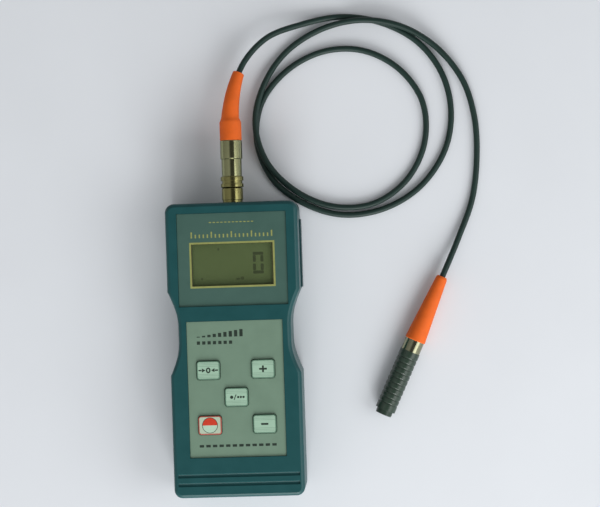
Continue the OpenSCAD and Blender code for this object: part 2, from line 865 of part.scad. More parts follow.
module battery_wires() {
    y = bay_y + plate_contact_t + 0.05;
    z = bay_top + bay_roof + 0.3 + WIRE_D / 2;
    color("firebrick") for (s = [-1, 1])
        wire([s * outer_cell_x, y, z], [s * (outer_cell_x - 2), keypad_y + 7]);
}

module socket_body() {
    bore = socket_bore_d / 2;
    color(NICKEL) difference() {
        turned([
            [top_y - thread_l, 0], [top_y - thread_l, thread_d / 2], [top_y, thread_d / 2],
            [top_y, socket_foot_d / 2], [top_y + socket_foot_l, socket_foot_d / 2],
            [top_y + socket_foot_l, socket_d / 2], [mouth_y - 0.4, socket_d / 2],
            [mouth_y, socket_d / 2 - 0.4], [mouth_y, bore], [nose_y - slide, bore], [nose_y - slide, 0]
        ]);
        round_bar(top_y - thread_l - cut, mouth_y, insert_d + 2 * slide);
    }
}

module socket_nut() {
    y = top_y - wall - fit;
    color(NICKEL) difference() {
        translate([0, y - nut_l, part_z]) rotate([-90, 0, 0]) cylinder(d = nut_w / cos(30), h = nut_l, $fn = 6);
        round_bar(y - nut_l - cut, y + cut, thread_d + 2 * slide);
    }
}

module socket_insert() {
    color([0.1, 0.1, 0.1]) difference() {
        round_bar(top_y - thread_l + 1, nose_y - slide, insert_d);
        each_contact() round_bar(top_y - thread_l, mouth_y, contact_d + 2 * slide);
    }
}

module socket_contacts() {
    color(COPPER) each_contact()
        round_bar(top_y - thread_l - 2.5, nose_y - slide - contact_reach - slide, contact_d);
}

module signal_wires() {
    color("goldenrod") for (s = [-1, 0, 1])
        wire([s * 1.6, top_y - thread_l - 2.6, part_z], [s * 3, board_upper_top - 6]);
}

module plug_shell() {
    rear = barrel_y + plug_thread_l;
    bore = nose_d / 2 - nose_wall;
    color(NICKEL) turned([
        [nose_y, bore], [nose_y, nose_d / 2], [ring_y, nose_d / 2], [ring_y, plug_core_d / 2],
        [sleeve_y, plug_core_d / 2], [sleeve_y, sleeve_d / 2], [barrel_y, sleeve_d / 2],
        [barrel_y, plug_core_d / 2], [rear, plug_core_d / 2], [rear, bore]
    ]);
}

module plug_ring() {
    bore = plug_core_d / 2 + slide;
    rim = ring_d / 2;
    waist = rim - 0.6;
    edge = 0.3;
    a = ring_y + ring_l * 0.34;
    b = ring_y + ring_l * 0.6;
    last = sleeve_y - slide;
    color(NICKEL) turned([
        [ring_y, bore], [ring_y, rim - edge], [ring_y + edge, rim], [a, rim], [a, waist], [b, waist], [b, rim],
        [last - edge, rim], [last, rim - edge], [last, bore]
    ]);
}

module plug_barrel() {
    bore = plug_core_d / 2 + slide;
    edge = 0.3;
    color(NICKEL) turned([
        [barrel_y, bore], [barrel_y, barrel_d / 2 - edge], [barrel_y + edge, barrel_d / 2],
        [boot_y - edge, barrel_d / 2], [boot_y, barrel_d / 2 - edge], [boot_y, bore]
    ]);
}

module plug_insert() {
    color([0.1, 0.1, 0.1]) difference() {
        round_bar(nose_y + slide, barrel_y, nose_d - 2 * nose_wall - 2 * slide);
        each_contact() round_bar(nose_y - cut, barrel_y + cut, contact_d + slide);
    }
}

module plug_pins() {
    color(COPPER) each_contact() round_bar(nose_y - contact_reach, barrel_y + 1.5, contact_d);
}

module plug_boot() {
    foot = [
        [boot_y, boot_d - 0.6], [boot_y + 0.3, boot_d], [boot_y + boot_foot_l, boot_d],
        [boot_y + boot_foot_l + boot_shoulder_l / 2, (boot_d + boot_neck_d) / 2]
    ];
    bend = [
        for (i = [0 : boot_rings])
            let (t = i / boot_rings)
            (1 - t) * (1 - t) * boot_bend[0] + 2 * t * (1 - t) * boot_bend[1] + t * t * boot_bend[2]
    ];
    path = concat([for (f = foot) [0, f[0], part_z]], bend);
    radii = concat([for (f = foot) f[1] / 2],
        [for (i = [0 : boot_rings]) (boot_neck_d + (boot_tip_d - boot_neck_d) * i / boot_rings) / 2]);
    color(ORANGE) union() {
        sweep(path, radii, boot_sides, [0, 1, 0], boot_tip_dir);
        round_bar(barrel_y + plug_thread_l + slide, boot_y + root, plug_core_d);
    }
}

module lead() {
    path = smooth(route, boot_tip_dir, -probe_axis, cord_steps);
    color(CORD_BLACK) sweep(path, [for (p = path) cord_d / 2], cord_sides, boot_tip_dir, -probe_axis);
}

module probe_boot() {
    tip_r = boot_tip_d / 2;
    edge = 1.2;
    color(ORANGE) in_probe() difference() {
        rotate_extrude() polygon([
            [0, tube_end], [probe_boot_d / 2 - 0.3, tube_end], [probe_boot_d / 2, tube_end + 0.3],
            [tip_r, probe_l - edge], [tip_r - edge / 2, probe_l], [0, probe_l]
        ]);
        translate([0, 0, tube_end - cut]) cylinder(d = tube_spigot_d + 2 * slide, h = tube_spigot_l + cut + slide);
    }
}

module probe_tube() {
    color(NICKEL) in_probe() difference() {
        union() {
            translate([0, 0, tube_front]) cylinder(d = collar_d, h = grip_end - tube_front + root);
            translate([0, 0, grip_end]) cylinder(d = tube_d, h = tube_l);
            translate([0, 0, tube_end - root]) cylinder(d = tube_spigot_d, h = tube_spigot_l + root);
        }
        translate([0, 0, tube_front - cut]) cylinder(d = tube_bore_d, h = probe_l);
    }
}

module probe_grip() {
    ribs = floor((probe_grip_l - 3) / rib_pitch);
    first = grip_start + (probe_grip_l - (ribs - 1) * rib_pitch) / 2;
    seat = plunger_l - slide;
    color(CORD_BLACK) in_probe() difference() {
        translate([0, 0, grip_start]) cylinder(d = probe_grip_d, h = probe_grip_l);
        for (i = [0 : ribs - 1])
            translate([0, 0, first + i * rib_pitch])
                rotate_extrude() translate([probe_grip_d / 2 + rib_pitch / 4 - rib_depth, 0]) circle(rib_pitch / 4);
        translate([0, 0, grip_start - cut]) cylinder(d = plunger_bore_d, h = seat - grip_start + cut);
        translate([0, 0, seat]) cylinder(d = inner_d, h = probe_grip_l);
    }
}

module probe_plunger() {
    back = plunger_l + collar_l;
    color([0.16, 0.18, 0.16]) in_probe() difference() {
        union() {
            cylinder(d = plunger_d, h = plunger_l);
            translate([0, 0, plunger_l]) cylinder(d = collar_d, h = collar_l);
            translate([0, 0, back - root]) cylinder(d = stem_d, h = stem_l + root);
        }
        rotate([90, 0, 0]) translate([0, 0, -plunger_d]) linear_extrude(2 * plunger_d)
            polygon([[-vee_w / 2, -slide], [vee_w / 2, -slide], [0, vee_w / 2]]);
        translate([0, 0, vee_w / 2 + 0.8]) cylinder(d = coil_d + 2 * slide, h = coil_l + stem_l);
        translate([0, 0, -cut]) cylinder(d = core_d + 2 * slide, h = vee_w + 2 * cut);
    }
}

module probe_spring() {
    color("silver") in_probe() translate([0, 0, plunger_l + collar_l])
        coil_spring((stem_d + inner_d) / 2, (stem_d + inner_d) / 2, spring_room, 5, plunger_wire);
}

module probe_core() {
    color("silver") in_probe() {
        translate([0, 0, vee_w / 2 - 0.4]) cylinder(d = core_d, h = coil_l + 2);
    }
}

module probe_coil() {
    color(COPPER) in_probe() translate([0, 0, vee_w / 2 + 0.8 + slide]) difference() {
        cylinder(d = coil_d, h = coil_l);
        translate([0, 0, -cut]) cylinder(d = core_d + 2 * slide, h = coil_l + 2 * cut);
    }
}

front_shell();
rear_shell();
battery_cover();
side_cover();
housing_screws();
header_plate();
display_window();
keypad_plate();
for (i = [0 : len(KEY_NAMES) - 1]) {
    key(i);
    switch(i);
}
lcd_panel();
lcd_frame();
lcd_strip(1);  // lcd_strip_upper
lcd_strip(-1);  // lcd_strip_lower
circuit_board();
processor_chip();
amplifier_chip();
crystal();
board_screws_set();  // board_screws
for (i = [0 : CELLS - 1])
    battery_cell(i);
battery_springs();
contact_plates();
battery_wires();
socket_body();
socket_nut();
socket_insert();
socket_contacts();
signal_wires();
plug_shell();
plug_ring();
plug_barrel();
plug_insert();
plug_pins();
plug_boot();
lead();
probe_boot();
probe_tube();
probe_grip();
probe_plunger();
probe_spring();
probe_core();
probe_coil();
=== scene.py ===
"""Coating thickness gauge with its probe on a plug-in lead.

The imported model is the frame. This script gives its pieces their finishes, models the visible pieces
again with rounder edges and finer turning, lays the cord, prints the panels and sets up a plain studio.
Sizes are in millimetres in the part's own frame: X across the housing, Y towards the socket and Z out
of the front.
"""

import json
import logging
import math
from dataclasses import dataclass, field
from enum import Enum
from typing import Callable, Optional, Sequence

import bmesh
import bpy
from mathutils import Matrix, Vector

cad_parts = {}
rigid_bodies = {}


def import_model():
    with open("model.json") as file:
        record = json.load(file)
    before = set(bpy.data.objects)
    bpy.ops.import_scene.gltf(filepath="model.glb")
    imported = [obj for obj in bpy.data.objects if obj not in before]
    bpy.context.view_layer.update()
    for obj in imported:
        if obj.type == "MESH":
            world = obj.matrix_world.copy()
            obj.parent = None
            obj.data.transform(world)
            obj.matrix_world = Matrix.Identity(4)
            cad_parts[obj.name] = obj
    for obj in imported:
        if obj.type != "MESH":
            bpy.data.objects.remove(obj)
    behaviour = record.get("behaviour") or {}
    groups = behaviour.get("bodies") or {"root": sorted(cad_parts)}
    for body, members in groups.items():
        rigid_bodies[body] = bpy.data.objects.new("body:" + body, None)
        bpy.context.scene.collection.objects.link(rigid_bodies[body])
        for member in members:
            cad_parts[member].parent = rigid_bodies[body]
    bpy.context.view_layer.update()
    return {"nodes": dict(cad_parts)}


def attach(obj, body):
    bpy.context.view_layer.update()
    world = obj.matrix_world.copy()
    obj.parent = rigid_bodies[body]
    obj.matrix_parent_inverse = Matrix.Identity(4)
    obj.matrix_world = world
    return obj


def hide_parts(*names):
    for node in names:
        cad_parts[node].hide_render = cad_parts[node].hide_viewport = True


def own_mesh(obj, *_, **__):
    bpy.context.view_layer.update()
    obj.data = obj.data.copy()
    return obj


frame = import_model()
LOG = logging.getLogger("gauge")

MM = 0.001

# Distances too small to matter
HAIR = 0.01
WELD_GAP = 0.001

# Least share of a normal or of an edge that points up where a face is level or an edge upright
LEVEL_SHARE = 0.99
UPRIGHT_SHARE = 0.9

# Angles in degrees up to which boots, turned metal and coils shade smooth
BOOT_CREASE = 28.0
METAL_CREASE = 35.0
COIL_CREASE = 40.0

# Height of the display panel's and the key panel's face
PANEL_TOP = 31.3

# The range that most of a noise's values lie in, and how strongly a relief shows
NOISE_SPAN = (0.3, 0.7)
RELIEF_STRENGTH = 0.7

SHADER = "Principled BSDF"

Rgb = tuple[int, int, int]
Rgba = tuple[float, float, float, float]
Flat = tuple[float, float]
Point = tuple[float, float, float]
Test = Callable[[Vector, Vector], bool]
Socket = bpy.types.NodeSocket

BLACK: Rgba = (0.0, 0.0, 0.0, 1.0)
WHITE: Rgba = (1.0, 1.0, 1.0, 1.0)


class Body(Enum):
    """The moving bodies of the gauge."""

    HOUSING = "housing"
    ZERO = "zero_button"
    PLUS = "plus_button"
    MODE = "mode_button"
    POWER = "power_button"
    MINUS = "minus_button"
    DOOR = "battery_door"
    LEAD = "probe_lead"
    TIP = "probe_tip"


class Pick(Enum):
    """What a selection is made of."""

    EDGES = "EDGE"
    FACES = "FACE"


class Slot(Enum):
    """The material slots of the record."""

    HOUSING = "housing"
    SIDE_PLATE = "side_plate"
    DISPLAY_PANEL = "display_panel"
    KEY_PANEL = "key_panel"
    KEY = "key"
    DISPLAY_CELL = "display_cell"
    NICKEL = "nickel"
    ORANGE_RUBBER = "orange_rubber"
    CORD_JACKET = "cord_jacket"
    GRIP_RUBBER = "grip_rubber"
    BLACK_PLASTIC = "black_plastic"
    STEEL = "steel"


class Symbol(Enum):
    """What is printed on a key."""

    ZERO = "zero"
    PLUS = "plus"
    MODE = "mode"
    POWER = "power"
    MINUS = "minus"

    @property
    def body(self) -> Body:
        """The body of the key that it is printed on."""
        return Body[self.name]


def metres(point: Sequence[float]) -> Vector:
    """The point, given in millimetres, as a vector in metres."""
    return Vector(point) * MM


def linear(colour: Rgb, share: float = 1.0) -> Rgba:
    """Turns a screen colour into the linear colour that a shader takes.

    Args:
        colour: Red, green and blue from 0 to 255.
        share: Factor on the light that the colour sends back.

    Returns:
        The linear colour with full alpha.
    """
    def channel(value: int) -> float:
        """One channel as linear light."""
        part = value / 255
        return part / 12.92 if part <= 0.04045 else ((part + 0.055) / 1.055) ** 2.4

    red, green, blue = (min(1.0, channel(value) * share) for value in colour)
    return red, green, blue, 1.0


def remap(tree: bpy.types.NodeTree, value: Socket, span: Sequence[float]) -> Socket:
    """Spreads one range of values over another.

    Args:
        tree: Node tree to add to.
        value: The value to spread.
        span: Lowest and highest value that comes in, then lowest and highest that goes out.

    Returns:
        The spread value.
    """
    node = tree.nodes.new("ShaderNodeMapRange")
    for socket, number in zip(("From Min", "From Max", "To Min", "To Max"), span):
        node.inputs[socket].default_value = number
    tree.links.new(value, node.inputs["Value"])
    return node.outputs["Result"]


class NodeSheet:
    """The node tree of one material, filled from its coordinates to its shader."""

    def __init__(self, name: str) -> None:
        """Makes the material and keeps its shader at hand.

        Args:
            name: Name of the material.
        """
        self.material = bpy.data.materials.new(name)
        self.material.use_nodes = True
        self.tree = self.material.node_tree
        self.nodes = self.tree.nodes
        self.links = self.tree.links
        self.shader = self.nodes[SHADER]
        self.coords = self.nodes.new("ShaderNodeTexCoord")

    def constant(self, socket: str, value: float) -> None:
        """Sets a value that is the same all over the surface."""
        self.shader.inputs[socket].default_value = value

    def feed(self, source: Socket, socket: str) -> None:
        """Links a varying value to the shader."""
        self.links.new(source, self.shader.inputs[socket])

    def coordinate(self, kind: str, axis: str) -> Socket:
        """Takes one of the surface's coordinates.

        Args:
            kind: Whether it is of the object or of its layout.
            axis: Which coordinate it is.

        Returns:
            The coordinate's value.
        """
        split = self.nodes.new("ShaderNodeSeparateXYZ")
        self.links.new(self.coords.outputs[kind], split.inputs["Vector"])
        return split.outputs[axis]

    def noise(self, size: float, stretch: Point = (1, 1, 1), turn: float = 0.0,
              detail: float = 3.0) -> Socket:
        """Adds a noise over the object's own coordinates.

        Args:
            size: Size of its patches.
            stretch: Factor on that size along each axis.
            turn: Degrees by which the pattern is turned clockwise, seen from the front.
            detail: Number of finer layers.

        Returns:
            The noise's value.
        """
        place = self.nodes.new("ShaderNodeMapping")
        place.vector_type = "TEXTURE"
        place.inputs["Rotation"].default_value = (0, 0, -math.radians(turn))
        place.inputs["Scale"].default_value = [size * MM * factor for factor in stretch]
        self.links.new(self.coords.outputs["Object"], place.inputs["Vector"])
        noise = self.nodes.new("ShaderNodeTexNoise")
        noise.inputs["Scale"].default_value = 1.0
        noise.inputs["Detail"].default_value = detail
        self.links.new(place.outputs["Vector"], noise.inputs["Vector"])
        return noise.outputs[0]

    def ramp(self, factor: Socket, stops: Sequence[tuple[float, Rgba]], steps: bool = False) -> Socket:
        """Adds a colour ramp.

        Args:
            factor: Value that runs along the ramp.
            stops: Places and colours along the ramp.
            steps: Whether each colour holds until the next place.

        Returns:
            The ramp's colour.
        """
        node = self.nodes.new("ShaderNodeValToRGB")
        ramp = node.color_ramp
        ramp.interpolation = "CONSTANT" if steps else "LINEAR"
        for place, colour in stops[2:]:
            ramp.elements.new(place).color = colour
        for element, (place, colour) in zip(ramp.elements, stops):
            element.position = place
            element.color = colour
        self.links.new(factor, node.inputs["Fac"])
        return node.outputs["Color"]

    def mottled(self, patches: Socket, colour: Rgb, share: float) -> Socket:
        """Darkens and brightens a colour by a share along a noise."""
        low, high = NOISE_SPAN
        return self.ramp(patches, [(low, linear(colour, 1 - share)), (high, linear(colour, 1 + share))])

    def spread(self, patches: Socket, low: float, high: float) -> Socket:
        """Spreads a noise's value from a lowest to a highest value."""
        return remap(self.tree, patches, (*NOISE_SPAN, low, high))

    def relief(self, height: Socket, depth: float) -> None:
        """Gives the surface a fine relief.

        Args:
            height: Value that stands for the height.
            depth: Depth of the relief.
        """
        node = self.nodes.new("ShaderNodeBump")
        node.inputs["Strength"].default_value = RELIEF_STRENGTH
        node.inputs["Distance"].default_value = depth * MM
        self.links.new(height, node.inputs["Height"])
        self.feed(node.outputs["Normal"], "Normal")


@dataclass(frozen=True)
class Finish:
    """A surface with slightly mottled colour, uneven gloss and a fine grain."""

    name: str
    colour: Rgb
    roughness: float = 0.5
    gloss_spread: float = 0.06
    mottle: float = 0.06
    mottle_size: float = 7.0
    mottle_detail: float = 4.0
    grain_size: float = 0.4
    grain_depth: float = 0.008
    metallic: float = 0.0
    specular: float = 0.4

    @property
    def title(self) -> str:
        """Name of the material, apart from the names of the frame's own materials."""
        return f"{self.name}_finish"

    def material(self) -> bpy.types.Material:
        """The material of this finish, made when it is first asked for."""
        return bpy.data.materials.get(self.title) or self.make()

    def make(self) -> bpy.types.Material:
        """Makes the material.

        Returns:
            The new material.
        """
        sheet = NodeSheet(self.title)
        patches = sheet.noise(self.mottle_size, detail=self.mottle_detail)
        sheet.feed(self.tint(sheet, patches), "Base Color")
        low, high = self.roughness - self.gloss_spread, self.roughness + self.gloss_spread
        sheet.feed(sheet.spread(patches, low, high), "Roughness")
        self.grain(sheet)
        sheet.constant("Metallic", self.metallic)
        sheet.constant("Specular IOR Level", self.specular)
        return sheet.material

    def tint(self, sheet: NodeSheet, patches: Socket) -> Socket:
        """The colour, mottled along a noise."""
        return sheet.mottled(patches, self.colour, self.mottle)

    def grain(self, sheet: NodeSheet) -> None:
        """Gives the surface its grain."""
        sheet.relief(sheet.noise(self.grain_size), self.grain_depth)


@dataclass(frozen=True)
class TurnedMetal(Finish):
    """Plated metal with the fine rings that turning leaves round its axis."""

    metallic: float = 1.0
    turn: float = 0.0
    ring_pitch: float = 0.25
    ring_length: float = 60.0
    ring_detail: float = 2.0

    def grain(self, sheet: NodeSheet) -> None:
        """Gives the metal its turned rings."""
        stretch = (self.ring_length, 1.0, self.ring_length)
        sheet.relief(sheet.noise(self.ring_pitch, stretch, self.turn, self.ring_detail), self.grain_depth)


@dataclass(frozen=True)
class Ink(Finish):
    """Printing ink, mottled finely."""

    roughness: float = 0.55
    mottle: float = 0.08
    mottle_size: float = 2.0


@dataclass(frozen=True)
class StripedFace(Finish):
    """A key's face with fine lines across it, near its upper and lower edges."""

    stripe: Rgb = (138, 168, 147)
    stripe_mottle: float = 0.06
    lines: tuple[float, ...] = (0.13, 0.21, 0.29, 0.72, 0.80, 0.88)
    line_width: float = 0.036

    def tint(self, sheet: NodeSheet, patches: Socket) -> Socket:
        """Draws the lines by the height on the face, over the mottled colour.

        Args:
            sheet: Node tree to add to.
            patches: Noise that the mottling follows.

        Returns:
            The varying colour.
        """
        stops = [(0.0, BLACK)]
        for line in self.lines:
            stops += [(line - self.line_width / 2, WHITE), (line + self.line_width / 2, BLACK)]
        mask = sheet.ramp(sheet.coordinate("UV", "Y"), stops, steps=True)
        mix = sheet.nodes.new("ShaderNodeMix")
        mix.data_type = "RGBA"
        sheet.links.new(mask, mix.inputs["Factor"])
        sheet.links.new(super().tint(sheet, patches), mix.inputs["A"])
        sheet.links.new(sheet.mottled(patches, self.stripe, self.stripe_mottle), mix.inputs["B"])
        return mix.outputs["Result"]


@dataclass(frozen=True)
class BandedJacket(Finish):
    """A battery cell's jacket: a plain length and a band at one end."""

    band: Rgb = (168, 104, 52)
    band_start: float = 0.0

    def tint(self, sheet: NodeSheet, patches: Socket) -> Socket:
        """Colours the band by its place along the housing.

        Args:
            sheet: Node tree to add to.
            patches: Noise that the mottling follows.

        Returns:
            The varying colour.
        """
        start = self.band_start * MM
        share = remap(sheet.tree, sheet.coordinate("Object", "Y"), (start - MM, start + MM, 0.0, 1.0))
        return sheet.ramp(share, [(0.0, linear(self.colour)), (0.5, linear(self.band))], steps=True)


@dataclass(frozen=True)
class ClearWindow(Finish):
    """A clear acrylic pane with faint haze."""

    opacity: float = 0.14

    def make(self) -> bpy.types.Material:
        """Makes the material.

        Returns:
            The new see-through material.
        """
        material = super().make()
        material.node_tree.nodes[SHADER].inputs["Alpha"].default_value = self.opacity
        return material


# Housing, panels and keys
TEAL_SHELL = Finish("teal_shell", (23, 74, 76), roughness=0.4, gloss_spread=0.03, mottle=0.05,
                    grain_size=0.35, grain_depth=0.007, specular=0.3)
SIDE_PLATE = Finish("side_plate", (20, 58, 62), roughness=0.42, grain_size=0.35)
HEADER_FILM = Finish("display_panel_film", (60, 92, 83), roughness=0.55, mottle=0.04, grain_size=0.25)
KEYPAD_FILM = Finish("key_panel_film", (109, 135, 116), roughness=0.55, mottle=0.035, grain_size=0.25)
KEY_FACE = StripedFace("key_face", (157, 190, 167), mottle=0.03, grain_depth=0.004)
# Partly a printed outline and partly painted shade: the dark rim round a key's face also stands in for the
# shadow in the gap round the key
KEY_RIM_PRINT_AND_SHADE = Finish("key_rim_print_and_shade", (82, 116, 96), mottle=0.05)
POWER_FACE = Finish("power_key_face", (178, 194, 172), mottle=0.03, grain_depth=0.004)
POWER_EDGE = Finish("power_key_edge", (166, 84, 70), mottle=0.05)
DISPLAY_OLIVE = Finish("display_olive", (80, 94, 58), roughness=0.4, mottle=0.05, mottle_size=12.0,
                       grain_depth=0.003)
CLEAR_PANE = ClearWindow("clear_pane", (108, 125, 80), roughness=0.12, gloss_spread=0.03,
                         grain_depth=0.001)

# Inks and display segments
YELLOW_INK = Ink("yellow_ink", (142, 147, 84))
DARK_INK = Ink("dark_ink", (30, 46, 36), mottle=0.12)
# Painted shade: a dark line round the display window's opening, in place of the shadow that the opening's
# walls cast
WINDOW_SHADE_INK = Ink("window_shade_ink", (58, 56, 30))
RED_INK = Ink("red_ink", (200, 56, 30), roughness=0.5, mottle=0.06)
PALE_INK = Ink("pale_ink", (178, 206, 184), roughness=0.5, mottle=0.04)
SEGMENT_DARK = Finish("segment_dark", (8, 13, 5), mottle=0.1, mottle_size=1.5)
SEGMENT_FAINT = Finish("segment_faint", (46, 55, 32), mottle=0.1, mottle_size=1.5)

# Connector, lead and probe
PLUG_NICKEL = TurnedMetal("plug_nickel", (150, 152, 114), roughness=0.16, gloss_spread=0.03,
                          mottle=0.05, grain_depth=0.0012)
SOCKET_NICKEL = TurnedMetal("socket_nickel", (140, 136, 88), roughness=0.22, gloss_spread=0.04,
                            mottle=0.07, grain_depth=0.0015)
PROBE_NICKEL = TurnedMetal("probe_nickel", (146, 146, 120), roughness=0.2, gloss_spread=0.03,
                           mottle=0.05, grain_depth=0.0012, turn=25.0)
ORANGE_RUBBER = Finish("orange_rubber", (220, 99, 32), roughness=0.58, mottle=0.07, mottle_size=5.0,
                       grain_size=0.5, grain_depth=0.014, specular=0.2)
CORD_JACKET = Finish("cord_jacket", (26, 48, 43), roughness=0.46, mottle=0.1, mottle_size=9.0,
                     grain_size=0.6, specular=0.3)
GRIP_RUBBER = Finish("grip_rubber", (41, 58, 47), roughness=0.3, gloss_spread=0.04, mottle=0.08,
                     mottle_size=4.0, grain_size=0.3, grain_depth=0.005, specular=0.5)
TIP_PLASTIC = Finish("tip_plastic", (40, 57, 46), roughness=0.38, mottle=0.08, mottle_size=3.0)

# What the housing and the connector hold
BLACK_PLASTIC = Finish("black_plastic", (34, 36, 37), roughness=0.45, mottle=0.08)
STRIP_RUBBER = Finish("strip_rubber", (150, 66, 92), roughness=0.6, mottle=0.1, mottle_size=1.0)
BOARD_MASK = Finish("board_mask", (26, 92, 52), roughness=0.35, mottle=0.12, mottle_size=3.0)
STEEL = TurnedMetal("zinc_steel", (168, 170, 172), roughness=0.3, mottle=0.08)
GOLD_CONTACT = TurnedMetal("gold_contact", (206, 164, 84), roughness=0.25)
COPPER_WIRE = TurnedMetal("copper_wire", (184, 106, 62), roughness=0.3, mottle=0.1, ring_pitch=0.2)
WIRE_JACKET = Finish("wire_jacket", (172, 38, 34), roughness=0.45, mottle=0.08)
CELL_UPPER = BandedJacket("cell_band_up", (40, 42, 46), roughness=0.3, band_start=-40.0)
CELL_LOWER = BandedJacket("cell_band_down", (168, 104, 52), roughness=0.3, band=(40, 42, 46),
                          band_start=-60.0)

# Studio
FLOOR_PAPER = Finish("floor_paper", (222, 226, 231), roughness=0.85, mottle=0.012, mottle_size=60.0,
                     grain_size=0.8, specular=0.2)


def upright(place: Vector, way: Vector) -> bool:
    """Whether an edge stands upright."""
    return abs(way.z) > UPRIGHT_SHARE


def upward(place: Vector, normal: Vector) -> bool:
    """Whether a face looks up."""
    return normal.z > LEVEL_SHARE


def flat(place: Vector, normal: Vector) -> bool:
    """Whether a face lies level, whichever side it shows."""
    return abs(normal.z) > LEVEL_SHARE


class Piece:
    """A mesh that is shaped step by step and then seated on a body of the frame."""

    def __init__(self, name: str) -> None:
        """Takes up the active object.

        Args:
            name: Name of the piece.
        """
        self.obj: bpy.types.Object = bpy.context.active_object
        self.obj.name = name
        self.obj.data.name = name

    @staticmethod
    def clear() -> None:
        """Leaves edit mode and selects nothing."""
        if bpy.context.object and bpy.context.object.mode != "OBJECT":
            bpy.ops.object.mode_set(mode="OBJECT")
        bpy.ops.object.select_all(action="DESELECT")

    @classmethod
    def plate(cls, name: str, centre: Flat, size: Flat, low: float, high: float) -> "Piece":
        """Starts from a plate.

        Args:
            name: Name of the piece.
            centre: Middle of its outline.
            size: Width and height of its outline.
            low: Level of its underside.
            high: Level of its top.

        Returns:
            The plate, with its place in its mesh.
        """
        cls.clear()
        bpy.ops.mesh.primitive_cube_add(size=1.0, location=metres((*centre, (low + high) / 2)))
        piece = cls(name)
        piece.obj.scale = metres((*size, high - low))
        return piece.settle()

    @classmethod
    def disc(cls, name: str, centre: Point, diameter: float, sides: int = 48) -> "Piece":
        """Starts from a flat disc, or from a flat polygon with few sides.

        Args:
            name: Name of the piece.
            centre: Its centre.
            diameter: Diameter through its corners.
            sides: Number of its sides.

        Returns:
            The disc, one face thick.
        """
        cls.clear()
        bpy.ops.mesh.primitive_circle_add(vertices=sides, radius=diameter / 2 * MM, fill_type="NGON",
                                          location=metres(centre))
        return cls(name).settle()

    @classmethod
    def turned(cls, name: str, profile: Sequence[Flat], foot: Point = (0, 0, 0), axis: Point = (0, 1, 0),
               steps: int = 72) -> "Piece":
        """Turns a profile round an axis.

        Args:
            name: Name of the piece.
            profile: Places along the axis with the radius there.
            foot: Point where the axis starts.
            axis: Direction of the axis.
            steps: Number of steps round the axis.

        Returns:
            The turned piece.
        """
        cls.clear()
        bpy.ops.mesh.primitive_plane_add(size=MM)
        piece = cls(name)
        bpy.ops.object.mode_set(mode="EDIT")
        bpy.ops.mesh.select_mode(type="VERT")
        bpy.ops.mesh.select_all(action="SELECT")
        bpy.ops.mesh.merge(type="CENTER")
        along, radius = profile[0]
        bpy.ops.transform.translate(value=(radius * MM, 0, along * MM))
        for (along_0, radius_0), (along_1, radius_1) in zip(profile, profile[1:]):
            step = ((radius_1 - radius_0) * MM, 0, (along_1 - along_0) * MM)
            bpy.ops.mesh.extrude_vertices_move(TRANSFORM_OT_translate={"value": step})
        bpy.ops.mesh.select_all(action="SELECT")
        bpy.ops.mesh.spin(steps=steps, angle=math.tau, center=(0, 0, 0), axis=(0, 0, 1))
        piece.weld()
        turn = Vector(axis).to_track_quat("Z", "Y").to_matrix().to_4x4()
        piece.obj.matrix_world = Matrix.Translation(metres(foot)) @ turn
        return piece.settle()

    @classmethod
    def copy_of(cls, node: str, name: str) -> "Piece":
        """Starts from a merged copy of a solid of the frame.

        Args:
            node: Name of the solid.
            name: Name of the piece.

        Returns:
            The copy, free of the frame.
        """
        cls.clear()
        source = frame["nodes"][node]
        source.select_set(True)
        bpy.context.view_layer.objects.active = source
        bpy.ops.object.duplicate(linked=False)
        piece = cls(name)
        bpy.ops.object.parent_clear(type="CLEAR_KEEP_TRANSFORM")
        for key in list(piece.obj.keys()):
            del piece.obj[key]
        if piece.obj.data.has_custom_normals:
            bpy.ops.mesh.customdata_custom_splitnormals_clear()
        bpy.ops.object.mode_set(mode="EDIT")
        piece.merge()
        bpy.ops.object.mode_set(mode="OBJECT")
        return piece

    def activate(self) -> None:
        """Makes this piece the only one selected."""
        self.clear()
        self.obj.select_set(True)
        bpy.context.view_layer.objects.active = self.obj

    def settle(self) -> "Piece":
        """Moves the object's place, turn and scale into its mesh.

        Returns:
            This piece.
        """
        self.activate()
        bpy.ops.object.transform_apply(location=True, rotation=True, scale=True)
        return self

    def merge(self) -> None:
        """Merges doubled points, in edit mode."""
        bpy.ops.mesh.select_all(action="SELECT")
        bpy.ops.mesh.remove_doubles(threshold=WELD_GAP * MM)

    def weld(self) -> None:
        """Merges doubled points, turns the faces outwards and leaves edit mode."""
        self.merge()
        bpy.ops.mesh.normals_make_consistent(inside=False)
        bpy.ops.object.mode_set(mode="OBJECT")

    def pick(self, kind: Pick, test: Test) -> None:
        """Selects edges or faces in edit mode.

        Args:
            kind: Whether edges or faces are selected.
            test: Takes an edge's middle and direction, or a face's middle and normal, in millimetres.
        """
        self.activate()
        bpy.ops.object.mode_set(mode="EDIT")
        bpy.ops.mesh.select_mode(type=kind.value)
        bpy.ops.mesh.select_all(action="DESELECT")
        grid = bmesh.from_edit_mesh(self.obj.data)
        grid.normal_update()
        if kind is Pick.EDGES:
            for edge in grid.edges:
                start, end = (point.co for point in edge.verts)
                edge.select_set(test((start + end) / 2 / MM, (end - start).normalized()))
        else:
            for face in grid.faces:
                face.select_set(test(face.calc_center_median() / MM, face.normal))
        grid.select_flush_mode()
        bmesh.update_edit_mesh(self.obj.data)

    def edit(self, kind: Pick, test: Test, tool: Callable[..., object], **settings: object) -> "Piece":
        """Uses a mesh tool on picked edges or faces.

        Args:
            kind: Whether edges or faces are picked.
            test: Picks them.
            tool: The tool.
            settings: Its settings.

        Returns:
            This piece.
        """
        self.pick(kind, test)
        tool(**settings)
        bpy.ops.object.mode_set(mode="OBJECT")
        return self

    def bevel(self, width: float, segments: int, test: Test) -> "Piece":
        """Rounds the picked edges by a width, with a number of faces across it."""
        return self.edit(Pick.EDGES, test, bpy.ops.mesh.bevel, offset=width * MM, segments=segments,
                         affect="EDGES")

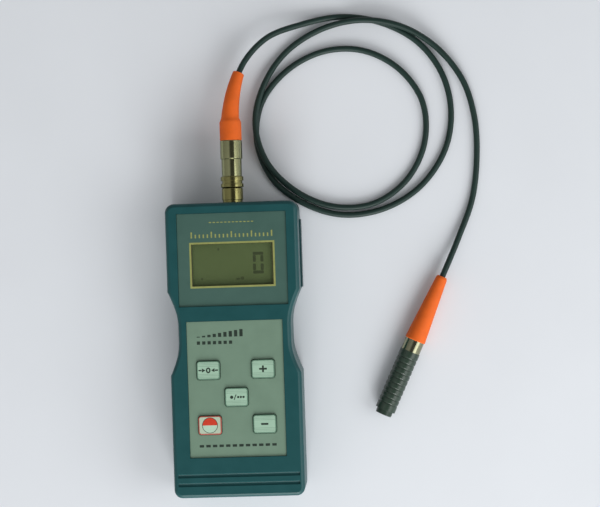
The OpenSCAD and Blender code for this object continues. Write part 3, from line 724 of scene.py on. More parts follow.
    def inset(self, width: float, test: Test) -> "Piece":
        """Sets a smaller face into the picked one, a width away from its outline."""
        return self.edit(Pick.FACES, test, bpy.ops.mesh.inset, thickness=width * MM, depth=0.0,
                         use_even_offset=True)

    def delete(self, test: Test) -> "Piece":
        """Deletes the picked faces."""
        return self.edit(Pick.FACES, test, bpy.ops.mesh.delete, type="FACE")

    def extrude(self, way: Point, test: Test) -> "Piece":
        """Draws the picked faces out.

        Args:
            way: How far they move.
            test: Picks the faces.

        Returns:
            This piece.
        """
        self.pick(Pick.FACES, test)
        bpy.ops.mesh.extrude_region_move(TRANSFORM_OT_translate={"value": metres(way)})
        self.weld()
        return self

    def halve(self, point: Point, normal: Point) -> "Piece":
        """Cuts a flat piece at a point and keeps the side that the normal points to."""
        return self.edit(Pick.FACES, flat, bpy.ops.mesh.bisect, plane_co=metres(point), plane_no=normal,
                         clear_inner=True)

    def change(self, matrix: Matrix, centre: Point) -> "Piece":
        """Turns or stretches the piece about a point.

        Args:
            matrix: The turn or the stretch.
            centre: The point that stays.

        Returns:
            This piece.
        """
        there = Matrix.Translation(metres(centre))
        self.obj.matrix_world = there @ matrix @ there.inverted()
        return self.settle()

    def turn(self, degrees: float, centre: Point) -> "Piece":
        """Turns the piece about a point, anticlockwise seen from the front."""
        return self.change(Matrix.Rotation(math.radians(degrees), 4, "Z"), centre)

    def stretch(self, factors: Flat, centre: Point) -> "Piece":
        """Stretches the piece about a point, across and along the housing."""
        return self.change(Matrix.Diagonal((*factors, 1, 1)), centre)

    def modify(self, kind: str, **settings: object) -> "Piece":
        """Adds a modifier and applies it.

        Args:
            kind: The modifier's type.
            settings: Its settings.

        Returns:
            This piece.
        """
        self.activate()
        bpy.ops.object.modifier_add(type=kind)
        modifier = self.obj.modifiers[-1]
        for name, value in settings.items():
            setattr(modifier, name, value)
        bpy.ops.object.modifier_apply(modifier=modifier.name)
        return self

    def ease(self, width: float, segments: int = 2, angle: float = 30.0) -> "Piece":
        """Rounds every edge that is sharper than an angle in degrees."""
        return self.modify("BEVEL", width=width * MM, segments=segments, limit_method="ANGLE",
                           angle_limit=math.radians(angle))

    def repeat(self, count: int, step: Point) -> "Piece":
        """Repeats the piece in a row, with one step from each copy to the next."""
        return self.modify("ARRAY", count=count, use_relative_offset=False, use_constant_offset=True,
                           constant_offset_displace=metres(step))

    def unite(self, other: "Piece") -> "Piece":
        """Makes one solid of this piece and another, which is used up.

        Args:
            other: The other piece.

        Returns:
            This piece.
        """
        self.modify("BOOLEAN", operation="UNION", solver="EXACT", object=other.obj)
        bpy.data.objects.remove(other.obj)
        return self

    def join(self, others: Sequence["Piece"]) -> "Piece":
        """Joins other pieces into this one.

        Args:
            others: The other pieces.

        Returns:
            This piece.
        """
        self.activate()
        for other in others:
            other.obj.select_set(True)
        bpy.ops.object.join()
        return self

    def smooth(self, angle: float = 30.0) -> "Piece":
        """Shades the piece smooth up to an angle, with even normals on its flat faces.

        Args:
            angle: The angle in degrees.

        Returns:
            This piece.
        """
        self.activate()
        bpy.ops.object.shade_smooth_by_angle(angle=math.radians(angle))
        return self.modify("WEIGHTED_NORMAL", keep_sharp=True)

    def dress(self, finish: Finish) -> "Piece":
        """Gives the whole piece one finish.

        Args:
            finish: The finish.

        Returns:
            This piece.
        """
        self.obj.data.materials.clear()
        self.obj.data.materials.append(finish.material())
        return self

    def dress_faces(self, finish: Finish, test: Test) -> "Piece":
        """Gives the picked faces a finish of their own.

        Args:
            finish: Their finish.
            test: Picks the faces.

        Returns:
            This piece.
        """
        self.pick(Pick.FACES, test)
        bpy.ops.object.material_slot_add()
        self.obj.active_material = finish.material()
        bpy.ops.object.material_slot_assign()
        bpy.ops.object.mode_set(mode="OBJECT")
        return self

    def seat(self, body: Body, slot: Slot, *nodes: str) -> "Piece":
        """Lets the piece ride on a body, in the place of solids of the frame.

        Args:
            body: The body.
            slot: Material slot of the record. Not used.
            nodes: The solids that it stands for.

        Returns:
            This piece.
        """
        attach(self.obj, body.value)
        if nodes:
            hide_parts(*nodes)
        LOG.info("%s rides on %s", self.obj.name, body.value)
        return self


def finish_nodes(finish: Finish, *nodes: str) -> None:
    """Gives solids of the frame a finish.

    Args:
        finish: The finish.
        nodes: Names of the solids.
    """
    for node in nodes:
        mesh = frame["nodes"][node].data
        mesh.materials.clear()
        mesh.materials.append(finish.material())
        LOG.info("%s is finished in %s", node, finish.name)


def redress(node: str, name: str, crease: float, finish: Finish, body: Body, slot: Slot) -> Piece:
    """Puts a smooth copy, in a finish of its own, in the place of a solid of the frame.

    Args:
        node: Name of the solid.
        name: Name of the piece.
        crease: Angle in degrees up to which it shades smooth.
        finish: Its finish.
        body: Body that it rides on.
        slot: Material slot of the record.

    Returns:
        The piece.
    """
    return Piece.copy_of(node, name).smooth(crease).dress(finish).seat(body, slot, node)


@dataclass
class PhotoCamera:
    """The camera, over the gauge and a little to its right."""

    place: Point = (72.51, 49.05, 879.64)
    lean: float = 2.5
    roll: float = 1.85
    lens: float = 97.89
    sensor: float = 36.0
    nearest: float = 10.0

    def build(self) -> None:
        """Adds the camera and makes it the scene's own."""
        Piece.clear()
        bpy.ops.object.camera_add()
        camera = bpy.context.active_object
        camera.name = "photo_camera"
        lean, roll = math.radians(self.lean), math.radians(self.roll)
        back = Vector((math.sin(lean), 0.0, math.cos(lean)))
        right = Vector((math.sin(roll), math.cos(roll), 0.0)).cross(back).normalized()
        above = back.cross(right)
        turn = Matrix((right, above, back)).transposed().to_4x4()
        camera.matrix_world = Matrix.Translation(metres(self.place)) @ turn
        camera.data.lens = self.lens
        camera.data.sensor_width = self.sensor
        camera.data.sensor_fit = "HORIZONTAL"
        camera.data.clip_start = self.nearest * MM
        bpy.context.scene.camera = camera


# Height of the cord's middle where it lies on the floor, and the points that it passes through
CORD_Z = 1.7
CORD_ROUTE: tuple[Point, ...] = (
    (5, 145.85, 13.4), (18.8, 163.9, 8.2), (38.6, 171.9, 3.8), (60.5, 175.5, 1.8),
    (82, 171.5, CORD_Z), (101, 160.5, CORD_Z), (113.5, 143, CORD_Z), (117.7, 122, CORD_Z),
    (113.3, 101.1, CORD_Z), (100, 83, CORD_Z), (81, 72, CORD_Z), (59.5, 69, CORD_Z),
    (39.2, 74.9, CORD_Z), (21.5, 88.5, CORD_Z), (13, 109, CORD_Z), (16, 130.5, CORD_Z),
    (30, 147.5, CORD_Z), (50, 157.2, CORD_Z), (71.5, 157, CORD_Z), (90.5, 146.5, CORD_Z),
    (102.5, 128.5, CORD_Z), (103, 106.5, CORD_Z), (93, 87, CORD_Z), (75, 74.8, CORD_Z),
    (53.6, 73.7, CORD_Z), (33.8, 82.2, 2.1), (18.5, 98, 4.8), (12.5, 119, 5.1),
    (17.5, 139.7, 4.1), (30, 157.5, 1.8), (49, 169, 2.5), (70.5, 173, 4.8),
    (92, 169, 4.9), (110.5, 157.5, 2.8), (124, 140, CORD_Z), (130, 119.5, CORD_Z),
    (130.6, 97.5, CORD_Z), (127.5, 75.5, 1.8), (119.5, 55, 3), (110, 34.3, 5.6),
)


@dataclass
class Lead:
    """The cord, which lies in two loose turns beside the housing and ends in the probe."""

    route: tuple[Point, ...] = CORD_ROUTE
    diameter: float = 3.2
    length: float = 860.5
    first_way: Point = (4.1, 11, -2.6)
    last_turn: float = 25.0
    rings: int = 10
    roundness: int = 6

    def tangents(self) -> list[Vector]:
        """How the curve runs through each point of the route.

        Returns:
            One vector for each point, in metres.
        """
        points = [metres(point) for point in self.route]
        turn = math.radians(self.last_turn)
        first = Vector(self.first_way).normalized() * (points[1] - points[0]).length
        last = Vector((-math.sin(turn), -math.cos(turn), 0.0)) * (points[-1] - points[-2]).length
        middle = [(after - before) / 2 for before, after in zip(points, points[2:])]
        return [first, *middle, last]

    def build(self, probe_boot: Piece) -> None:
        """Lays the cord as one curve.

        Args:
            probe_boot: The piece on its far end, which carries the rest of the probe. Not used.
        """
        Piece.clear()
        bpy.ops.curve.primitive_bezier_curve_add()
        cord = bpy.context.active_object
        cord.name = "probe_cord"
        curve = cord.data
        curve.dimensions = "3D"
        curve.bevel_depth = self.diameter / 2 * MM
        curve.bevel_resolution = self.roundness
        curve.resolution_u = self.rings
        curve.use_fill_caps = True
        knots = curve.splines[0].bezier_points
        knots.add(len(self.route) - len(knots))
        for knot, point, way in zip(knots, self.route, self.tangents()):
            knot.handle_left_type = knot.handle_right_type = "FREE"
            knot.co = metres(point)
            knot.handle_left = metres(point) - way / 3
            knot.handle_right = metres(point) + way / 3
        curve.materials.append(CORD_JACKET.material())
        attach(cord, Body.LEAD.value)
        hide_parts("lead")
        LOG.info("probe_cord rides on %s", Body.LEAD.value)


@dataclass
class Housing:
    """The two shells, the battery door and the plate on the side of the head."""

    crease: float = 32.0

    def build(self) -> None:
        """Shades and dresses the moulded pieces."""
        for node, name, finish, body, slot in (
            ("front_shell", "front_moulding", TEAL_SHELL, Body.HOUSING, Slot.HOUSING),
            ("rear_shell", "rear_moulding", TEAL_SHELL, Body.HOUSING, Slot.HOUSING),
            ("battery_cover", "battery_door_moulding", TEAL_SHELL, Body.DOOR, Slot.HOUSING),
            ("side_cover", "side_plate_moulding", SIDE_PLATE, Body.HOUSING, Slot.SIDE_PLATE),
        ):
            redress(node, name, self.crease, finish, body, slot)


@dataclass
class Print:
    """Flat marks of one ink on one surface."""

    name: str
    ink: Finish
    level: float
    body: Body
    slot: Slot
    thickness: float = 0.03
    corner: float = 0.12
    corner_steps: int = 2
    parts: list[Piece] = field(default_factory=list)

    def next_name(self) -> str:
        """Name of the next mark."""
        return f"{self.name}_{len(self.parts)}"

    def raise_mark(self, mark: Piece) -> "Print":
        """Gives a flat mark its thickness and adds it to the others."""
        self.parts.append(mark.extrude((0, 0, self.thickness), flat))
        return self

    def raise_line(self, mark: Piece, centre: Flat, width: float) -> "Print":
        """Leaves only a line round a flat mark and adds that to the others.

        Args:
            mark: The flat mark.
            centre: Its centre.
            width: Width of the line.

        Returns:
            This print.
        """
        x, y = centre
        mark.inset(width, flat)
        mark.delete(lambda place, normal: abs(place.x - x) < HAIR and abs(place.y - y) < HAIR)
        return self.raise_mark(mark)

    def bar(self, centre: Flat, size: Flat, turn: float = 0.0, count: int = 1,
            step: Flat = (0, 0)) -> "Print":
        """Adds a bar with rounded corners, or a row of such bars.

        Args:
            centre: Middle of the first bar.
            size: Width and height of a bar.
            turn: Angle of a bar in degrees.
            count: Number of bars.
            step: Way from one bar to the next.

        Returns:
            This print.
        """
        mark = Piece.plate(self.next_name(), centre, size, self.level, self.level + self.thickness)
        mark.bevel(min(self.corner, min(size) / 3), self.corner_steps, upright)
        if turn:
            mark.turn(turn, (*centre, self.level))
        if count > 1:
            mark.repeat(count, (*step, 0))
        self.parts.append(mark)
        return self

    def row(self, middle: Flat, size: Flat, count: int, pitch: float) -> "Print":
        """Adds a row of bars side by side, with a middle and a pitch."""
        start = (middle[0] - pitch * (count - 1) / 2, middle[1])
        return self.bar(start, size, count=count, step=(pitch, 0))

    def arrow(self, centre: Flat, size: float, turn: float) -> "Print":
        """Adds a solid arrow head, with a size through its corners and an angle from upwards."""
        place = (*centre, self.level)
        return self.raise_mark(Piece.disc(self.next_name(), place, size, sides=3).turn(turn, place))

    def ring(self, centre: Flat, diameter: float, width: float, squeeze: float = 1.0) -> "Print":
        """Adds a ring.

        Args:
            centre: Its centre.
            diameter: Its outer diameter.
            width: Width of its line.
            squeeze: Share of its height that its width has.

        Returns:
            This print.
        """
        place = (*centre, self.level)
        mark = Piece.disc(self.next_name(), place, diameter).stretch((squeeze, 1.0), place)
        return self.raise_line(mark, centre, width)

    def frame(self, centre: Flat, outer: Flat, width: float) -> "Print":
        """Adds a frame line.

        Args:
            centre: Its centre.
            outer: Its outer width and height.
            width: Width of the line.

        Returns:
            This print.
        """
        place = (*centre, self.level)
        square = Piece.disc(self.next_name(), place, math.sqrt(2), sides=4).turn(45, place)
        return self.raise_line(square.stretch(outer, place), centre, width)

    def dot(self, centre: Flat, diameter: float, upper: Optional[bool] = None) -> "Print":
        """Adds a dot, or one half of it.

        Args:
            centre: Its centre.
            diameter: Its diameter.
            upper: Which half stays, if only one does.

        Returns:
            This print.
        """
        place = (*centre, self.level)
        mark = Piece.disc(self.next_name(), place, diameter)
        if upper is not None:
            mark.halve(place, (0, 1 if upper else -1, 0))
        return self.raise_mark(mark)

    def press(self) -> Piece:
        """Joins the marks into one piece and seats it.

        Returns:
            The printed piece.
        """
        first, *rest = self.parts
        if rest:
            first.join(rest)
        first.obj.name = first.obj.data.name = self.name
        return first.smooth().dress(self.ink).seat(self.body, self.slot)


@dataclass
class DisplayPanel:
    """The display panel with its printed scale, the window and the reading behind it."""

    cell_top: float = 29.2
    window: Flat = (0.0, 44.5)
    frame_size: Flat = (44.6, 23.9)
    frame_line: float = 0.95
    opening: Flat = (41.8, 21.6)
    # Width and thickness of the painted shade line round the window's opening
    edge_line: float = 0.45
    edge_ink: float = 0.02
    scale_y: float = 60.3
    scale_w: float = 42.0
    tick: Flat = (0.75, 1.9)
    long_tick: Flat = (0.75, 3.2)
    ticks: int = 21
    ticks_between: int = 5
    dash_y: float = 66.7
    dash: Flat = (1.3, 0.5)
    dash_gap: float = 0.7
    dashes: int = 12
    digit: Flat = (13.4, 45.0)
    digit_size: Flat = (5.6, 11.4)
    segment: float = 1.6
    segment_gap: float = 0.1
    segment_corner: float = 0.7
    waist_gap: float = 0.9
    mark_corner: float = 0.4
    marks: tuple[tuple[Flat, Flat], ...] = (
        ((-7.3, 52.6), (1.1, 1.4)),
        ((-16.3, 37.4), (0.9, 1.3)),
        ((2.7, 36.9), (2.1, 1.1)),
        ((4.9, 37.2), (1.8, 1.6)),
    )

    def build(self) -> None:
        """Dresses the panel, prints it and shows the reading."""
        finish_nodes(HEADER_FILM, "header_plate")
        finish_nodes(CLEAR_PANE, "display_window")
        finish_nodes(DISPLAY_OLIVE, "lcd_panel")
        self.print_panel()
        self.print_edge()
        self.show_reading()
        self.show_marks()

    def print_panel(self) -> None:
        """Prints the frame line, the graduated scale and the row of dashes."""
        ink = Print("panel_print", YELLOW_INK, PANEL_TOP, Body.HOUSING, Slot.DISPLAY_PANEL)
        ink.frame(self.window, self.frame_size, self.frame_line)
        pitch = self.scale_w / (self.ticks - 1)
        foot = self.scale_y - self.long_tick[1] / 2
        ink.row((0, foot + self.tick[1] / 2), self.tick, self.ticks, pitch)
        long_count = (self.ticks - 1) // self.ticks_between + 1
        rise = (self.tick[1] + self.long_tick[1]) / 2
        ink.row((0, foot + rise), (self.long_tick[0], self.long_tick[1] - self.tick[1]), long_count,
                pitch * self.ticks_between)
        ink.row((0, self.dash_y), self.dash, self.dashes, self.dash[0] + self.dash_gap)
        ink.press()

    def print_edge(self) -> None:
        """Paints a dark line round the window's opening as painted shade, for the shadow that the
        opening's walls cast on the display.
        """
        ink = Print("window_shade_line", WINDOW_SHADE_INK, PANEL_TOP, Body.HOUSING, Slot.DISPLAY_PANEL,
                    thickness=self.edge_ink)
        w, h = self.opening
        ink.frame(self.window, (w + 2 * self.edge_line, h + 2 * self.edge_line), self.edge_line).press()

    def show_reading(self) -> None:
        """Builds the nought of the reading from six segments."""
        ink = Print("reading", SEGMENT_DARK, self.cell_top, Body.HOUSING, Slot.DISPLAY_CELL,
                    corner=self.segment_corner)
        (x, y), (w, h) = self.digit, self.digit_size
        ink.bar((x, y - (h - self.segment) / 2), (w, self.segment), count=2, step=(0, h - self.segment))
        high = h / 2 - self.segment - self.segment_gap
        low = self.waist_gap / 2
        for side in (-1, 1):
            ink.bar((x + side * (w - self.segment) / 2, y - (high + low) / 2), (self.segment, high - low),
                    count=2, step=(0, high + low))
        ink.press()

    def show_marks(self) -> None:
        """Builds the small faint marks of the display."""
        ink = Print("display_marks", SEGMENT_FAINT, self.cell_top, Body.HOUSING, Slot.DISPLAY_CELL,
                    corner=self.mark_corner)
        for centre, size in self.marks:
            ink.bar(centre, size)
        ink.press()


@dataclass
class Legend:
    """The symbol printed on a key."""

    symbol: Symbol
    centre: Flat
    level: float
    stroke: float = 0.95
    plus_size: Flat = (4.0, 3.45)
    minus_width: float = 3.8
    nought: float = 3.0
    nought_line: float = 0.7
    nought_squeeze: float = 0.8
    arrow: float = 2.4
    arrow_reach: float = 2.7
    shaft: Flat = (1.6, 0.7)
    shaft_reach: float = 4.3
    large_dot: float = 1.7
    large_dot_x: float = -2.5
    slash: Flat = (0.45, 3.0)
    slash_x: float = -0.7
    slash_turn: float = -22.0
    small_dot: float = 1.15
    small_dot_x: float = 0.9
    small_dot_pitch: float = 1.4
    small_dots: int = 3
    disc: float = 7.7
    disc_ring: float = 8.2
    disc_line: float = 0.28

    def build(self) -> None:
        """Prints the symbol."""
        draw = {
            Symbol.ZERO: self.draw_zero,
            Symbol.PLUS: self.draw_plus,
            Symbol.MODE: self.draw_mode,
            Symbol.POWER: self.draw_power,
            Symbol.MINUS: self.draw_minus,
        }
        ink = self.start(DARK_INK)
        draw[self.symbol](ink)
        ink.press()

    def start(self, ink: Finish, ending: str = "") -> Print:
        """Starts the marks of one ink, with an ending to their name."""
        return Print(f"{self.symbol.value}_symbol{ending}", ink, self.level, self.symbol.body, Slot.KEY)

    def draw_zero(self, ink: Print) -> None:
        """Draws a nought between two arrows that point at it."""
        x, y = self.centre
        ink.ring((x, y), self.nought, self.nought_line, self.nought_squeeze)
        for side in (-1, 1):
            ink.arrow((x + side * self.arrow_reach, y), self.arrow, 90 * side)
            ink.bar((x + side * self.shaft_reach, y), self.shaft)

    def draw_plus(self, ink: Print) -> None:
        """Draws a plus sign from one bar and two arms."""
        (x, y), (w, h) = self.centre, self.plus_size
        ink.bar((x, y), (w, self.stroke))
        for side in (1, -1):
            ink.bar((x, y + side * (h + self.stroke) / 4), (self.stroke, (h - self.stroke) / 2))

    def draw_mode(self, ink: Print) -> None:
        """Draws one dot, a slash and a row of dots."""
        x, y = self.centre
        ink.dot((x + self.large_dot_x, y), self.large_dot)
        ink.bar((x + self.slash_x, y), self.slash, turn=self.slash_turn)
        for column in range(self.small_dots):
            ink.dot((x + self.small_dot_x + self.small_dot_pitch * column, y), self.small_dot)

    def draw_power(self, ink: Print) -> None:
        """Draws a disc, red above and pale below, in a dark ring."""
        for half, ending, upper in ((RED_INK, "_red", True), (PALE_INK, "_pale", False)):
            self.start(half, ending).dot(self.centre, self.disc, upper).press()
        ink.ring(self.centre, self.disc_ring, self.disc_line)

    def draw_minus(self, ink: Print) -> None:
        """Draws a minus sign."""
        ink.bar(self.centre, (self.minus_width, self.stroke))


@dataclass
class Key:
    """A key: its cap, the lip that holds it under the panel, and the stem that reaches its switch."""

    symbol: Symbol
    centre: Flat
    cap: Flat = (12.2, 9.8)
    corner: float = 1.5
    corner_steps: int = 8
    lip: float = 1.1
    lip_low: float = 28.3
    lip_high: float = 29.3
    top: float = 32.3
    stem: float = 4.0
    stem_low: float = 27.1
    stem_edge: float = 0.2
    stem_sink: float = 0.3
    stem_steps: int = 32
    rounding: float = 0.35
    rounding_steps: int = 3
    rim_share: float = 0.2
    border: float = 0.28
    middle_gap: float = 0.1

    def build(self) -> None:
        """Models the key, dresses it and prints its symbol."""
        powered = self.symbol is Symbol.POWER
        face, edge = (POWER_FACE, POWER_EDGE) if powered else (KEY_FACE, KEY_RIM_PRINT_AND_SHADE)
        key = self.build_cap()
        key.unite(self.build_stem())
        # The rim gets a printed outline colour; on the keys other than the power key this dark rim is also
        # painted shade of the gap round the key
        key.smooth().dress(KEYPAD_FILM).dress_faces(edge, self.rim).dress_faces(face, self.middle)
        self.lay_out(key)
        key.seat(self.symbol.body, Slot.KEY, f"{self.symbol.value}_key")
        Legend(self.symbol, self.centre, self.top).build()

    def build_cap(self) -> Piece:
        """Models the cap with its lip.

        Returns:
            The cap.
        """
        w, h = (side + 2 * self.lip for side in self.cap)
        cap = Piece.plate(f"{self.symbol.value}_key_cap", self.centre, (w, h), self.lip_low, self.lip_high)
        cap.bevel(self.corner + self.lip, self.corner_steps, upright)
        cap.inset(self.lip, upward)
        cap.extrude((0, 0, self.top - self.lip_high), self.middle)
        cap.bevel(self.rounding, self.rounding_steps, lambda place, way: place.z > self.top - HAIR)
        return cap.inset(self.border, self.middle)

    def build_stem(self) -> Piece:
        """Turns the stem, which starts inside the lip.

        Returns:
            The stem.
        """
        low, high, radius = self.stem_low, self.lip_low + self.stem_sink, self.stem / 2
        profile = [(low, 0), (low, radius - self.stem_edge), (low + self.stem_edge, radius),
                   (high, radius), (high, 0)]
        return Piece.turned(f"{self.symbol.value}_stem", profile, (*self.centre, 0), (0, 0, 1),
                            self.stem_steps)

    def middle(self, place: Vector, normal: Vector) -> bool:
        """Whether a face is the level face in the middle of the top."""
        off = max(abs(place.x - self.centre[0]), abs(place.y - self.centre[1]))
        return upward(place, normal) and off < self.middle_gap

    def rim(self, place: Vector, normal: Vector) -> bool:
        """Whether a face is on the rounded rim of the top."""
        return normal.z > self.rim_share and place.z > self.top - self.rounding

    def lay_out(self, key: Piece) -> None:
        """Lays the cap's outline over the unit square, for the lines across its face.

        Args:
            key: The modelled key.
        """
        (x, y), (w, h) = self.centre, self.cap
        mesh = key.obj.data
        layer = mesh.uv_layers.new(name="cap_face") if not mesh.uv_layers else mesh.uv_layers[0]
        for loop in mesh.loops:
            place = mesh.vertices[loop.vertex_index].co / MM
            layer.data[loop.index].uv = ((place.x - x) / w + 0.5, (place.y - y) / h + 0.5)


@dataclass
class Keypad:
    """The key panel with its marks, and the five keys."""

    column: float = 14.3
    rows: tuple[float, float, float] = (-10.3, -24.65, -39.0)
    wedge_left: float = -19.9
    wedge_foot: float = 6.9
    wedge_bar: float = 1.7
    wedge_pitch: float = 2.8
    wedge_rise: float = 0.42
    wedge_bars: int = 9
    square: float = 1.7
    squares: int = 7
    square_y: float = 4.0
    foot_y: float = -49.9
    foot_dash: Flat = (2.3, 1.3)
    foot_dashes: int = 12
    foot_pitch: float = 3.45

    def build(self) -> None:
        """Dresses the panel, prints its marks and builds the keys."""
        finish_nodes(KEYPAD_FILM, "keypad_plate")
        self.print_marks()
        upper, middle, lower = self.rows
        for symbol, centre in (
            (Symbol.ZERO, (-self.column, upper)),
            (Symbol.PLUS, (self.column, upper)),
            (Symbol.MODE, (0.0, middle)),
            (Symbol.POWER, (-self.column, lower)),
            (Symbol.MINUS, (self.column, lower)),
        ):
            Key(symbol, centre).build()

    def print_marks(self) -> None:
        """Prints a rising wedge of bars, a row of squares under it and a row of dashes at the foot."""
        ink = Print("key_panel_print", DARK_INK, PANEL_TOP, Body.HOUSING, Slot.KEY_PANEL)
        first = self.wedge_left + self.wedge_bar / 2
        for bar in range(self.wedge_bars):
            height = self.wedge_rise * (bar + 1)
            centre = (first + bar * self.wedge_pitch, self.wedge_foot + height / 2)
            ink.bar(centre, (self.wedge_bar, height))
        ink.bar((first, self.square_y), (self.square, self.square), count=self.squares,
                step=(self.wedge_pitch, 0))
        ink.row((0, self.foot_y), self.foot_dash, self.foot_dashes, self.foot_pitch)
        ink.press()


@dataclass
class Connector:
    """The socket on the top end and the plug in it, as profiles of places with the radius there."""

    height: float = 16.0
    eased: float = 0.12
    socket: tuple[Flat, ...] = (
        (67.0, 3.55), (67.0, 4.5), (77.0, 4.5), (77.0, 5.3), (78.6, 5.3), (78.6, 5.65),
        (84.6, 5.65), (85.0, 5.25), (85.0, 4.3), (78.9, 4.3), (78.9, 3.55), (67.0, 3.55),
    )
    shell: tuple[Flat, ...] = (
        (79.0, 3.5), (79.0, 4.2), (85.15, 4.2), (85.15, 4.6), (91.15, 4.6), (91.15, 5.35),
        (100.15, 5.35), (100.15, 4.6), (106.15, 4.6), (106.15, 3.5), (79.0, 3.5),
    )
    ring: tuple[Flat, ...] = (
        (85.15, 4.7), (85.15, 5.75), (85.45, 6.05), (87.19, 6.05), (87.19, 5.45), (88.75, 5.45),
        (88.75, 6.05), (90.75, 6.05), (91.05, 5.75), (91.05, 4.7), (85.15, 4.7),
    )
    barrel: tuple[Flat, ...] = (
        (100.15, 4.7), (100.15, 5.55), (100.45, 5.85), (109.85, 5.85), (110.15, 5.55), (110.15, 4.7),
        (100.15, 4.7),
    )

    def build(self) -> None:
        """Turns the metal pieces and dresses the boot."""
        foot = (0.0, 0.0, self.height)
        for node, name, profile, finish, body in (
            ("socket_body", "socket_turning", self.socket, SOCKET_NICKEL, Body.HOUSING),
            ("plug_shell", "plug_sleeve_turning", self.shell, PLUG_NICKEL, Body.LEAD),
            ("plug_ring", "plug_ring_turning", self.ring, SOCKET_NICKEL, Body.LEAD),
            ("plug_barrel", "plug_barrel_turning", self.barrel, PLUG_NICKEL, Body.LEAD),
        ):
            piece = Piece.turned(name, profile, foot).ease(self.eased)
            piece.smooth(METAL_CREASE).dress(finish).seat(body, Slot.NICKEL, node)
        redress("plug_boot", "plug_boot_moulding", BOOT_CREASE, ORANGE_RUBBER, Body.LEAD,
                Slot.ORANGE_RUBBER)


@dataclass
class Probe:
    """The probe on the far end of the cord: its boot, collar, ribbed grip and sprung tip."""

    tip: Point = (76.191, -38.205, 5.6)
    turn: float = 25.0
    grip_start: float = 2.6
    grip_end: float = 36.6
    grip_d: float = 10.9
    grip_bore: float = 9.0
    grip_room: float = 9.6
    grip_seat: float = 6.1
    grip_steps: int = 64
    rib_pitch: float = 2.9
    rib_depth: float = 0.3
    ribs: int = 10
    groove_steps: int = 4
    spring_end: float = 15.8
    spring_kept: float = 0.75
    eased: float = 0.12
    eased_steps: int = 3
    eased_from: float = 50.0

    def axis(self) -> Point:
        """Direction from the tip to the cord."""
        return math.sin(math.radians(self.turn)), math.cos(math.radians(self.turn)), 0.0

    def groove(self, centre: float) -> list[Flat]:
        """The round groove between two ribs.

        Args:
            centre: Its place along the probe.

        Returns:
            Its profile.
        """
        radius = self.rib_pitch / 4
        middle = self.grip_d / 2 + radius - self.rib_depth
        reach = math.acos((radius - self.rib_depth) / radius)
        steps = range(-self.groove_steps, self.groove_steps + 1)
        angles = [reach * step / self.groove_steps for step in steps]
        return [(centre + radius * math.sin(angle), middle - radius * math.cos(angle)) for angle in angles]

    def build(self) -> Piece:
        """Builds the pieces of the probe.

        Returns:
            The boot, which the cord runs into.
        """
        boot = redress("probe_boot", "probe_boot_moulding", BOOT_CREASE, ORANGE_RUBBER, Body.LEAD,
                       Slot.ORANGE_RUBBER)
        redress("probe_tube", "probe_collar_turning", METAL_CREASE, PROBE_NICKEL, Body.LEAD, Slot.NICKEL)
        redress("probe_plunger", "probe_tip_moulding", METAL_CREASE, TIP_PLASTIC, Body.TIP,
                Slot.BLACK_PLASTIC)
        self.build_spring()
        self.build_grip()
        return boot

    def build_spring(self) -> None:
        """Dresses the spring behind the tip and gives it a mesh of its own."""
        spring = redress("probe_spring", "probe_spring_coil", COIL_CREASE, STEEL, Body.LEAD, Slot.STEEL)
        end = metres(self.tip) + metres(self.axis()) * self.spring_end
        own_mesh(spring.obj, "probe_tip_press", axis=self.axis(), anchor=end, keep=self.spring_kept)

    def build_grip(self) -> None:
        """Turns the grip with its ribs."""
        rim, bore, room = self.grip_d / 2, self.grip_bore / 2, self.grip_room / 2
        span = self.grip_end - self.grip_start
        first = self.grip_start + (span - (self.ribs - 1) * self.rib_pitch) / 2
        places = [first + rib * self.rib_pitch for rib in range(self.ribs)]
        grooves = [point for place in places for point in self.groove(place)]
        profile = [(self.grip_start, bore), (self.grip_start, rim), *grooves, (self.grip_end, rim),
                   (self.grip_end, room), (self.grip_seat, room), (self.grip_seat, bore),
                   (self.grip_start, bore)]
        grip = Piece.turned("probe_grip_moulding", profile, self.tip, self.axis(), self.grip_steps)
        grip.ease(self.eased, self.eased_steps, self.eased_from).smooth(COIL_CREASE).dress(GRIP_RUBBER)
        grip.seat(Body.LEAD, Slot.GRIP_RUBBER, "probe_grip")


@dataclass
class Inside:
    """What the housing and the connector hold."""

    finishes: tuple[tuple[Finish, tuple[str, ...]], ...] = (
        (STEEL, ("housing_screws", "crystal", "board_screws", "battery_springs", "contact_plates",
                 "socket_nut", "probe_core")),
        (BLACK_PLASTIC, ("lcd_frame", "processor_chip", "amplifier_chip", "socket_insert", "plug_insert",
                         "zero_switch", "plus_switch", "mode_switch", "power_switch", "minus_switch")),
        (STRIP_RUBBER, ("lcd_strip_upper", "lcd_strip_lower")),
        (BOARD_MASK, ("circuit_board",)),
        (CELL_UPPER, ("battery_cell_1", "battery_cell_3")),
        (CELL_LOWER, ("battery_cell_2", "battery_cell_4")),
        (WIRE_JACKET, ("battery_wires", "signal_wires")),
        (GOLD_CONTACT, ("socket_contacts", "plug_pins")),
        (COPPER_WIRE, ("probe_coil",)),
    )

    def build(self) -> None:
        """Dresses the pieces."""
        for finish, nodes in self.finishes:
            finish_nodes(finish, *nodes)


@dataclass
class Lamp:
    """A soft square light that looks at the middle of the gauge."""

    name: str
    place: Point
    size: float
    power: float
    target: Point = (40.0, 40.0, 0.0)

    def build(self) -> None:
        """Adds the lamp."""
        Piece.clear()
        bpy.ops.object.light_add(type="AREA", location=metres(self.place))
        lamp = bpy.context.active_object
        lamp.name = self.name
        lamp.data.energy = self.power
        lamp.data.size = self.size * MM
        way = metres(self.target) - metres(self.place)
        lamp.rotation_euler = way.to_track_quat("-Z", "Y").to_euler()


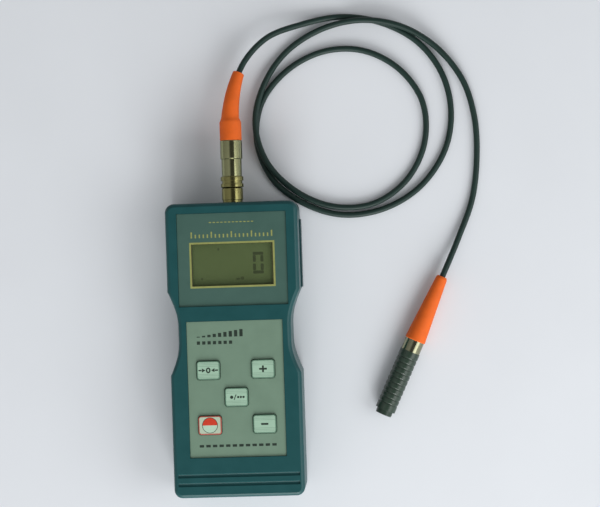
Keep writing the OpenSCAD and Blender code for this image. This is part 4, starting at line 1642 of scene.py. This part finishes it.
@dataclass
class Studio:
    """A pale floor, soft lamps, bright walls and a darker ceiling."""

    floor_size: float = 6000.0
    floor_thickness: float = 1.0
    floor_drop: float = 0.02
    floor_edge: float = 0.3
    ceiling: float = 0.08
    walls: float = 0.63
    ceiling_lean: Point = (0.28, 0.0, 0.96)
    ceiling_edge: Flat = (0.8, 0.93)
    bright_way: Point = (0.5, -0.866, 0.0)
    bright_spread: Flat = (0.3, 1.7)
    lamps: tuple[Lamp, ...] = (
        Lamp("lamp_right", (1150.0, -280.0, 1000.0), 900.0, 6.2),
        Lamp("lamp_front", (200.0, -1450.0, 760.0), 900.0, 22.4),
    )

    def build(self) -> None:
        """Lays the floor and sets the light."""
        size, top = (self.floor_size, self.floor_size), -self.floor_drop
        floor = Piece.plate("studio_floor", (0, 0), size, top - self.floor_thickness, top)
        floor.ease(self.floor_edge).dress(FLOOR_PAPER)
        for lamp in self.lamps:
            lamp.build()
        self.light_room()
        bpy.context.scene.view_settings.view_transform = "Standard"

    def light_room(self) -> None:
        """Makes the walls brighter in front, and the ceiling darker a little to the right."""
        world = bpy.context.scene.world or bpy.data.worlds.new("studio_world")
        bpy.context.scene.world = world
        world.use_nodes = True
        tree = world.node_tree
        look = tree.nodes.new("ShaderNodeTexCoord").outputs["Generated"]
        product = tree.nodes.new("ShaderNodeMath")
        product.operation = "MULTIPLY"
        for term, way, span in (
            (0, self.ceiling_lean, (*self.ceiling_edge, self.walls, self.ceiling)),
            (1, self.bright_way, (-1.0, 1.0, *self.bright_spread)),
        ):
            share = tree.nodes.new("ShaderNodeVectorMath")
            share.operation = "DOT_PRODUCT"
            share.inputs[1].default_value = way
            tree.links.new(look, share.inputs[0])
            tree.links.new(remap(tree, share.outputs["Value"], span), product.inputs[term])
        background = tree.nodes["Background"]
        background.inputs["Color"].default_value = WHITE
        tree.links.new(product.outputs["Value"], background.inputs["Strength"])


def main() -> None:
    """Builds the camera, the lead with its probe, the housing and the studio."""
    logging.basicConfig(level=logging.INFO, format="%(name)s: %(message)s")
    PhotoCamera().build()
    Lead().build(Probe().build())
    Housing().build()
    DisplayPanel().build()
    Keypad().build()
    Connector().build()
    Inside().build()
    Studio().build()
    Piece.clear()


if __name__ == "__main__":
    main()
